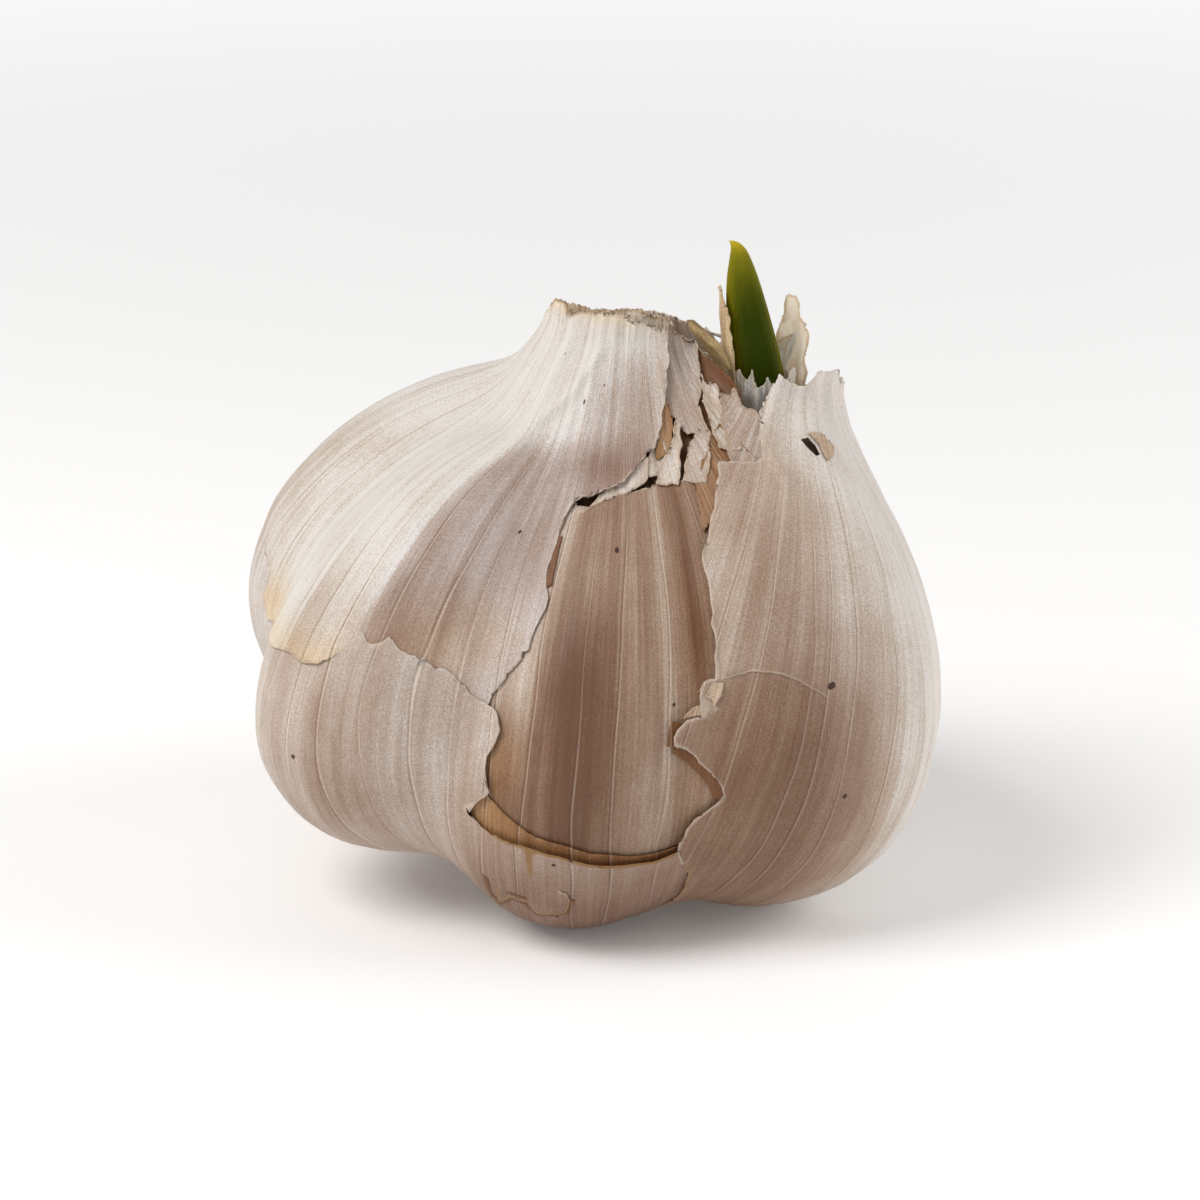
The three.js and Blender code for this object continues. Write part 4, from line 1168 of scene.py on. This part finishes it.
LEAF = {"lift": leaf_lift, "cell": (0.16, 0.4), "ragged": 0.35}
NECK_LEAVES = [
    sheet(
        "neck_leaf",
        [(-24, 0.79), (14, 0.84), (20, 0.818), (29, 0.818), (29.5, 0.855), (34, 0.894), (38, 0.938),
         (22, 0.95), (-24, 0.965)],
        "neck_shard", seed=90, depth=0.7, tones=BLUSH,
    ),
    sheet(
        "neck_shard_1",
        [(15, 0.765), (22, 0.765), (27, 0.8), (29.5, 0.82), (25, 0.822), (20, 0.8)],
        "shard_1", seed=97, depth=0.4, tones=BLUSH,
    ),
    sheet(
        "neck_shard_2",
        [(7.5, 0.79), (13, 0.795), (14.5, 0.825), (12.5, 0.855), (8, 0.85)],
        "shard_2", seed=104, depth=0.45, tones=BROWN,
    ),
    sheet(
        "neck_shard_3",
        [(29, 0.8), (34, 0.8), (37.5, 0.855), (39, 0.876), (37, 0.88), (36, 0.87), (34.5, 0.893),
         (33, 0.875), (31.5, 0.86)],
        "shard_3", seed=111, depth=0.35, tones=PALE,
    ),
    sheet(
        "neck_shard_4",
        [(-15, 0.737), (-2, 0.755), (4, 0.768), (3, 0.79), (-6, 0.775), (-11, 0.762)],
        "shard_4", seed=118, depth=0.42, tones=PALE,
    ),
    sheet(
        "neck_shard_5",
        [(7, 0.762), (14, 0.762), (17, 0.8), (18, 0.832), (16, 0.829), (12.5, 0.8)],
        seed=125, depth=0.3, tones=PALE,
    ),
    sheet(
        "neck_shard_6",
        [(22, 0.78), (36, 0.78), (43, 0.865), (42, 0.9), (38, 0.93), (32, 0.91), (24, 0.85)],
        seed=132, depth=0.95, tones=RUST,
    ),
    sheet(
        "neck_shard_7",
        [(18, 0.71), (24, 0.755), (27, 0.782), (38, 0.782), (36, 0.8), (33, 0.83), (28, 0.815),
         (24, 0.79), (19, 0.765)],
        seed=139, depth=0.45, tones=AMBER,
    ),
    sheet(
        "neck_shard_8",
        [(2, 0.77), (8, 0.772), (11, 0.8), (9, 0.82), (4, 0.795)],
        seed=146, depth=0.55, tones=PALE,
    ),
    sheet(
        "neck_shard_9",
        [(5, 0.765), (24, 0.765), (27, 0.82), (20, 0.855), (10, 0.855)],
        seed=153, depth=1.15, tones=RUST,
    ),
    sheet(
        "clove_tip_skin",
        [(29, 0.77), (38, 0.77), (45, 0.825), (44, 0.84), (42.3, 0.842), (42.6, 0.868), (40.5, 0.858),
         (38.6, 0.864), (37, 0.846), (34, 0.83), (31, 0.8)],
        seed=160, depth=0.2, tones=plain_tones(0.3, 0.5, 0.1), pole=TIP_POLE,
    ),
]

NECK_LAYER = [(-262, 0.86), (30, 0.9), (34, 0.935), (16, 0.965), (-20, 0.975), (-90, 0.955),
              (-180, 0.915), (-262, 0.9)]
NECK_LAYERS = [
    sheet(
        f"neck_layer_{index + 1}",
        NECK_LAYER,
        seed=150 + 11 * index, depth=depth, cell=(0.3, 0.3), ragged=0.55,
        tones=plain_tones(0.05, 0.2, 0.45, 0.55),
    )
    for index, depth in enumerate((1.35, 1.8, 2.25))
]

SHEATH = {"depth": 0.0, "cell": (0.12, 0.2), "ragged": 0.3}
SHEATH_LEAVES = [
    sheet(
        "sheath_tongue",
        [(-120, 0.05), (-42, 0.05), (-47, 0.4), (-57, 0.7), (-76, 0.93), (-88, 0.965), (-98, 0.93),
         (-114, 0.5)],
        "sprout_sheath", on=Sheath(3.1, 3.7), seed=210, crumple=0.2, tones=STRAW,
    ),
    sheet(
        "sheath_flap",
        [(84, 0.02), (160, 0.02), (158, 0.5), (150, 0.62), (146, 0.8), (132, 0.82), (124, 0.76),
         (118, 0.66), (108, 0.6), (98, 0.56), (96, 0.44)],
        on=Sheath(3.5, 4.7), seed=219, crumple=0.5, tones=plain_tones(0.0, 0.0, 0.22, 0.4),
    ),
    sheet(
        "sheath_collar",
        [(-75, 0.0), (80, 0.0), (84, 0.3), (66, 0.3), (50, 0.2), (38, 0.22), (22, 0.16), (10, 0.3),
         (0, 0.2), (-12, 0.2), (-18, 0.33), (-30, 0.22), (-42, 0.34), (-52, 0.3), (-66, 0.36)],
        on=Sheath(2.75, 3.1), seed=228, crumple=0.4, tones=WHITE,
    ),
    sheet(
        "sheath_back",
        [(100, 0.0), (270, 0.0), (250, 0.2), (225, 0.28), (200, 0.2), (170, 0.26), (130, 0.24)],
        on=Sheath(3.2, 3.7), seed=237, crumple=0.3, tones=WHITE,
    ),
]


# Operators.


class GARLIC_OT_outer_skins(bpy.types.Operator):
    """Makes the outer skins, torn where they meet, with the bits that hang from them"""

    bl_idname = "garlic.outer_skins"
    bl_label = "Outer skins"

    def execute(self, context):
        make_sheets(OUTER_SKINS, skin_material("outer skin", spots=OUTER_SPECKS), "outer_skin")
        return {"FINISHED"}


class GARLIC_OT_inner_skin(bpy.types.Operator):
    """Makes the thin inner skins that close round the cloves and show in the front opening"""

    bl_idname = "garlic.inner_skin"
    bl_label = "Inner skin"

    def execute(self, context):
        paper = skin_material("inner skin", streaks=0.1, vein=0.75, roughness=0.45, spots=INNER_SPECKS)
        make_sheets(INNER_SKINS, paper, "inner_skin")
        return {"FINISHED"}


class GARLIC_OT_neck(bpy.types.Operator):
    """Makes the torn leaves, shards and cut stalk of the neck"""

    bl_idname = "garlic.neck"
    bl_label = "Neck"

    def execute(self, context):
        paper = skin_material("neck skin", streaks=0.12, vein=0.5)
        make_sheets(NECK_LEAVES, paper, "inner_skin", **LEAF)
        # A lighter copy of the neck paper for the rim layers: painted light where they sit in shade.
        painted_light_rim_paper = skin_material("neck rim painted light", streaks=0.12, vein=0.4, glow=0.3, light=1.25)
        make_sheets(NECK_LAYERS, painted_light_rim_paper, "inner_skin")
        self.cut_stalk(plain_material("stalk", *STALK_CORK, scale=520.0, roughness=0.85, bump=0.7))
        fibres = {"stretch": (0.35, 2.2, 2.2), "turn": 43}
        straw = plain_material("strand", *STRAND_STRAW, scale=420.0, roughness=0.8, bump=0.8, **fibres)
        coat(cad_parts["dried_strand"], straw)
        return {"FINISHED"}

    def cut_stalk(self, material):
        """The stalk, with a rough cut top: a disc of rings whose outer rows run down the side."""
        bm = grid(*STALK_GRID)
        around, along = grid_places(bm)
        turn = 2 * np.pi * around
        out = np.clip(along / STALK_TOP_SHARE, LEAST_RING, 1)
        down = np.clip((along - STALK_TOP_SHARE) / (1 - STALK_TOP_SHARE), 0, 1) ** 2
        z = mix(*STALK_HEIGHTS, down)
        flare = smooth(*STALK_FLARE, z)
        radius = out * mix(*STALK_RADII, flare) * (1 + STALK_UNEVENNESS * noise(turn * 2, along * 0, 7))
        x, y = radius * np.sin(turn), -radius * np.cos(turn)
        # Lumps all over the cut, and rings round its middle
        rough = 0.5 * fractal(x * 1.1 + 30, y * 1.1 + 30, 17)
        rough = rough + 0.3 * noise(out * 9 + turn * 0.3, out * 0, 19)
        z = np.where(down > 0, z, z + rough * smooth(1.0, 0.9, out))
        rise = z / NECK[5]
        points = np.stack([x + lean(z) + NECK[0] * rise, y + NECK[1] * rise, z], axis=-1)
        piece = new_piece("stalk", bm)
        write_points(piece.data, points)
        weld(piece, 1e-6)
        finish_piece(piece, material, ("stem",))


class GARLIC_OT_cloves(bpy.types.Operator):
    """Gives the cloves and the root plate their finish"""

    bl_idname = "garlic.cloves"
    bl_label = "Cloves and root plate"

    def execute(self, context):
        flesh = plain_material("clove", *CLOVE_FLESH, scale=90.0, roughness=0.45, bump=0.1)
        for name in CLOVES:
            coat(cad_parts[name], flesh)
        cork = plain_material("root cork", *ROOT_CORK, scale=420.0, roughness=0.95, bump=0.9)
        coat(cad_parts["root_plate"], cork)
        return {"FINISHED"}


def smooth_line(stations, at):
    """Reads listed stations along a smooth curve."""
    stations = np.array(stations, float)
    padded = np.vstack([2 * stations[0] - stations[1], stations, 2 * stations[-1] - stations[-2]])
    i = np.clip(np.floor(at).astype(int), 0, len(stations) - 2)
    t = (at - i)[:, None]
    a, b, c, d = (padded[i + k] for k in range(4))
    return 0.5 * (2 * b + (c - a) * t + (2 * a - 5 * b + 4 * c - d) * t**2 + (3 * b - a - 3 * c + d) * t**3)


class GARLIC_OT_shoot(bpy.types.Operator):
    """Makes the green shoot and the torn sheath round it"""

    bl_idname = "garlic.shoot"
    bl_label = "Shoot"

    def execute(self, context):
        bm = grid(SHOOT_SIDES, context.scene.garlic_shoot.stations)
        around, along = grid_places(bm)
        piece = new_piece("green_shoot", bm)
        x, y, z, radius = smooth_line(SHOOT, along * (len(SHOOT) - 1)).T
        turn = 2 * np.pi * around
        keel = 1 + SHOOT_KEEL * np.cos(3 * turn) + SHOOT_RIB * np.cos(17 * turn)
        width = np.clip(radius, THINNEST_SHOOT, None) * keel
        points = np.stack([x - width * np.sin(turn), y + SHOOT_FLATNESS * width * np.cos(turn), z], axis=-1)
        write_points(piece.data, points)
        write_uv(piece.data, around, along)
        weld(piece, 1e-7, close_ends=True)
        finish_piece(piece, shoot_material(), ("sprout",))
        # The sheath skins are a lighter copy of the paper: painted light where the shoot shades the flap.
        paper = skin_material("sheath skin painted light", streaks=0.1, vein=0.5, glow=0.5, light=1.2)
        make_sheets(SHEATH_LEAVES, paper, "sheath", **SHEATH)
        return {"FINISHED"}


# The stage.

FLOOR_HALF_SIZE = 3.0  # metres
FLOOR_GLOW_REACH = (0.12, 0.8)  # metres from the bulb where the floor's glow grows
FLOOR_GLOW = (0.07, 0.5)
SKY_STRENGTH = 0.42
WHITE_LIGHT = (1.0, 1.0, 1.0, 1.0)
# name, place and size in metres, power, colour
LIGHTS = [
    ("key", (-0.34, -0.16, 0.46), 0.32, 2.3, (1.0, 0.98, 0.96)),
    ("fill", (0.52, 0.02, 0.26), 0.36, 1.3, (1.0, 0.99, 0.98)),
]
LIGHT_TARGET = (0, 0, 0.025)
CAMERA_TARGET = (0.8, 0, 24)  # millimetres


class GARLIC_OT_stage(bpy.types.Operator):
    """Sets the floor, the soft studio light and the camera"""

    bl_idname = "garlic.stage"
    bl_label = "Stage"

    def execute(self, context):
        settings = context.scene.garlic_stage
        scene = context.scene
        bm = bmesh.new()
        bmesh.ops.create_grid(bm, x_segments=1, y_segments=1, size=FLOOR_HALF_SIZE)
        floor = new_piece("floor", bm)
        shader = Shader("floor")
        shader.surface.inputs["Base Color"].default_value = (*settings.floor, 1.0)
        shader.surface.inputs["Roughness"].default_value = 0.9
        shader.surface.inputs["Emission Color"].default_value = WHITE_LIGHT
        afar = shader.distance(shader.place(), (0.0, 0.0, 0.0))
        glow = shader.ramp(afar, *FLOOR_GLOW_REACH, *FLOOR_GLOW)
        shader.feed(shader.surface.inputs["Emission Strength"], glow)
        floor.data.materials.append(shader.material)
        world = bpy.data.worlds.new("studio")
        world.use_nodes = True
        sky = world.node_tree.nodes["Background"]
        sky.inputs["Color"].default_value = WHITE_LIGHT
        sky.inputs["Strength"].default_value = SKY_STRENGTH
        scene.world = world
        for light in LIGHTS:
            self.add_light(*light)
        target = Vector(CAMERA_TARGET) * MM
        rise = settings.elevation
        back = Vector((0, -math.cos(rise), math.sin(rise)))
        camera = bpy.data.objects.new("camera", bpy.data.cameras.new("camera"))
        camera.data.lens = settings.lens
        camera.data.sensor_width = 36.0
        camera.location = target + back * settings.distance * MM
        camera.rotation_euler = back.to_track_quat("Z", "Y").to_euler()
        scene.collection.objects.link(camera)
        scene.camera = camera
        scene.view_settings.view_transform = "Standard"
        return {"FINISHED"}

    def add_light(self, name, place, size, power, color):
        lamp = bpy.data.lights.new(name, "AREA")
        lamp.size = size
        lamp.energy = power
        lamp.color = color
        light = bpy.data.objects.new(name, lamp)
        light.location = place
        light.rotation_euler = (Vector(place) - Vector(LIGHT_TARGET)).to_track_quat("Z", "Y").to_euler()
        bpy.context.scene.collection.objects.link(light)


class GARLIC_PT_panel(bpy.types.Panel):
    """Lists the steps and settings of the bulb"""

    bl_idname = "GARLIC_PT_panel"
    bl_label = "Garlic bulb"
    bl_space_type = "VIEW_3D"
    bl_region_type = "UI"
    bl_category = "Garlic"

    def draw(self, context):
        for operator in OPERATORS:
            self.layout.operator(operator.bl_idname)
        for group in (context.scene.garlic_skin, context.scene.garlic_shoot, context.scene.garlic_stage):
            for name in group.__annotations__:
                self.layout.prop(group, name)


OPERATORS = (
    GARLIC_OT_outer_skins,
    GARLIC_OT_inner_skin,
    GARLIC_OT_neck,
    GARLIC_OT_cloves,
    GARLIC_OT_shoot,
    GARLIC_OT_stage,
)
GROUPS = {
    "garlic_skin": GarlicSkinSettings,
    "garlic_shoot": GarlicShootSettings,
    "garlic_stage": GarlicStageSettings,
}


def register():
    for name, group in GROUPS.items():
        bpy.utils.register_class(group)
        setattr(bpy.types.Scene, name, PointerProperty(type=group))
    for operator in OPERATORS:
        bpy.utils.register_class(operator)
    bpy.utils.register_class(GARLIC_PT_panel)


def unregister():
    bpy.utils.unregister_class(GARLIC_PT_panel)
    for operator in reversed(OPERATORS):
        bpy.utils.unregister_class(operator)
    for name, group in GROUPS.items():
        delattr(bpy.types.Scene, name)
        bpy.utils.unregister_class(group)


def main():
    register()
    bpy.ops.garlic.outer_skins()
    bpy.ops.garlic.inner_skin()
    bpy.ops.garlic.neck()
    bpy.ops.garlic.cloves()
    bpy.ops.garlic.shoot()
    bpy.ops.garlic.stage()


if __name__ == "__main__":
    main()
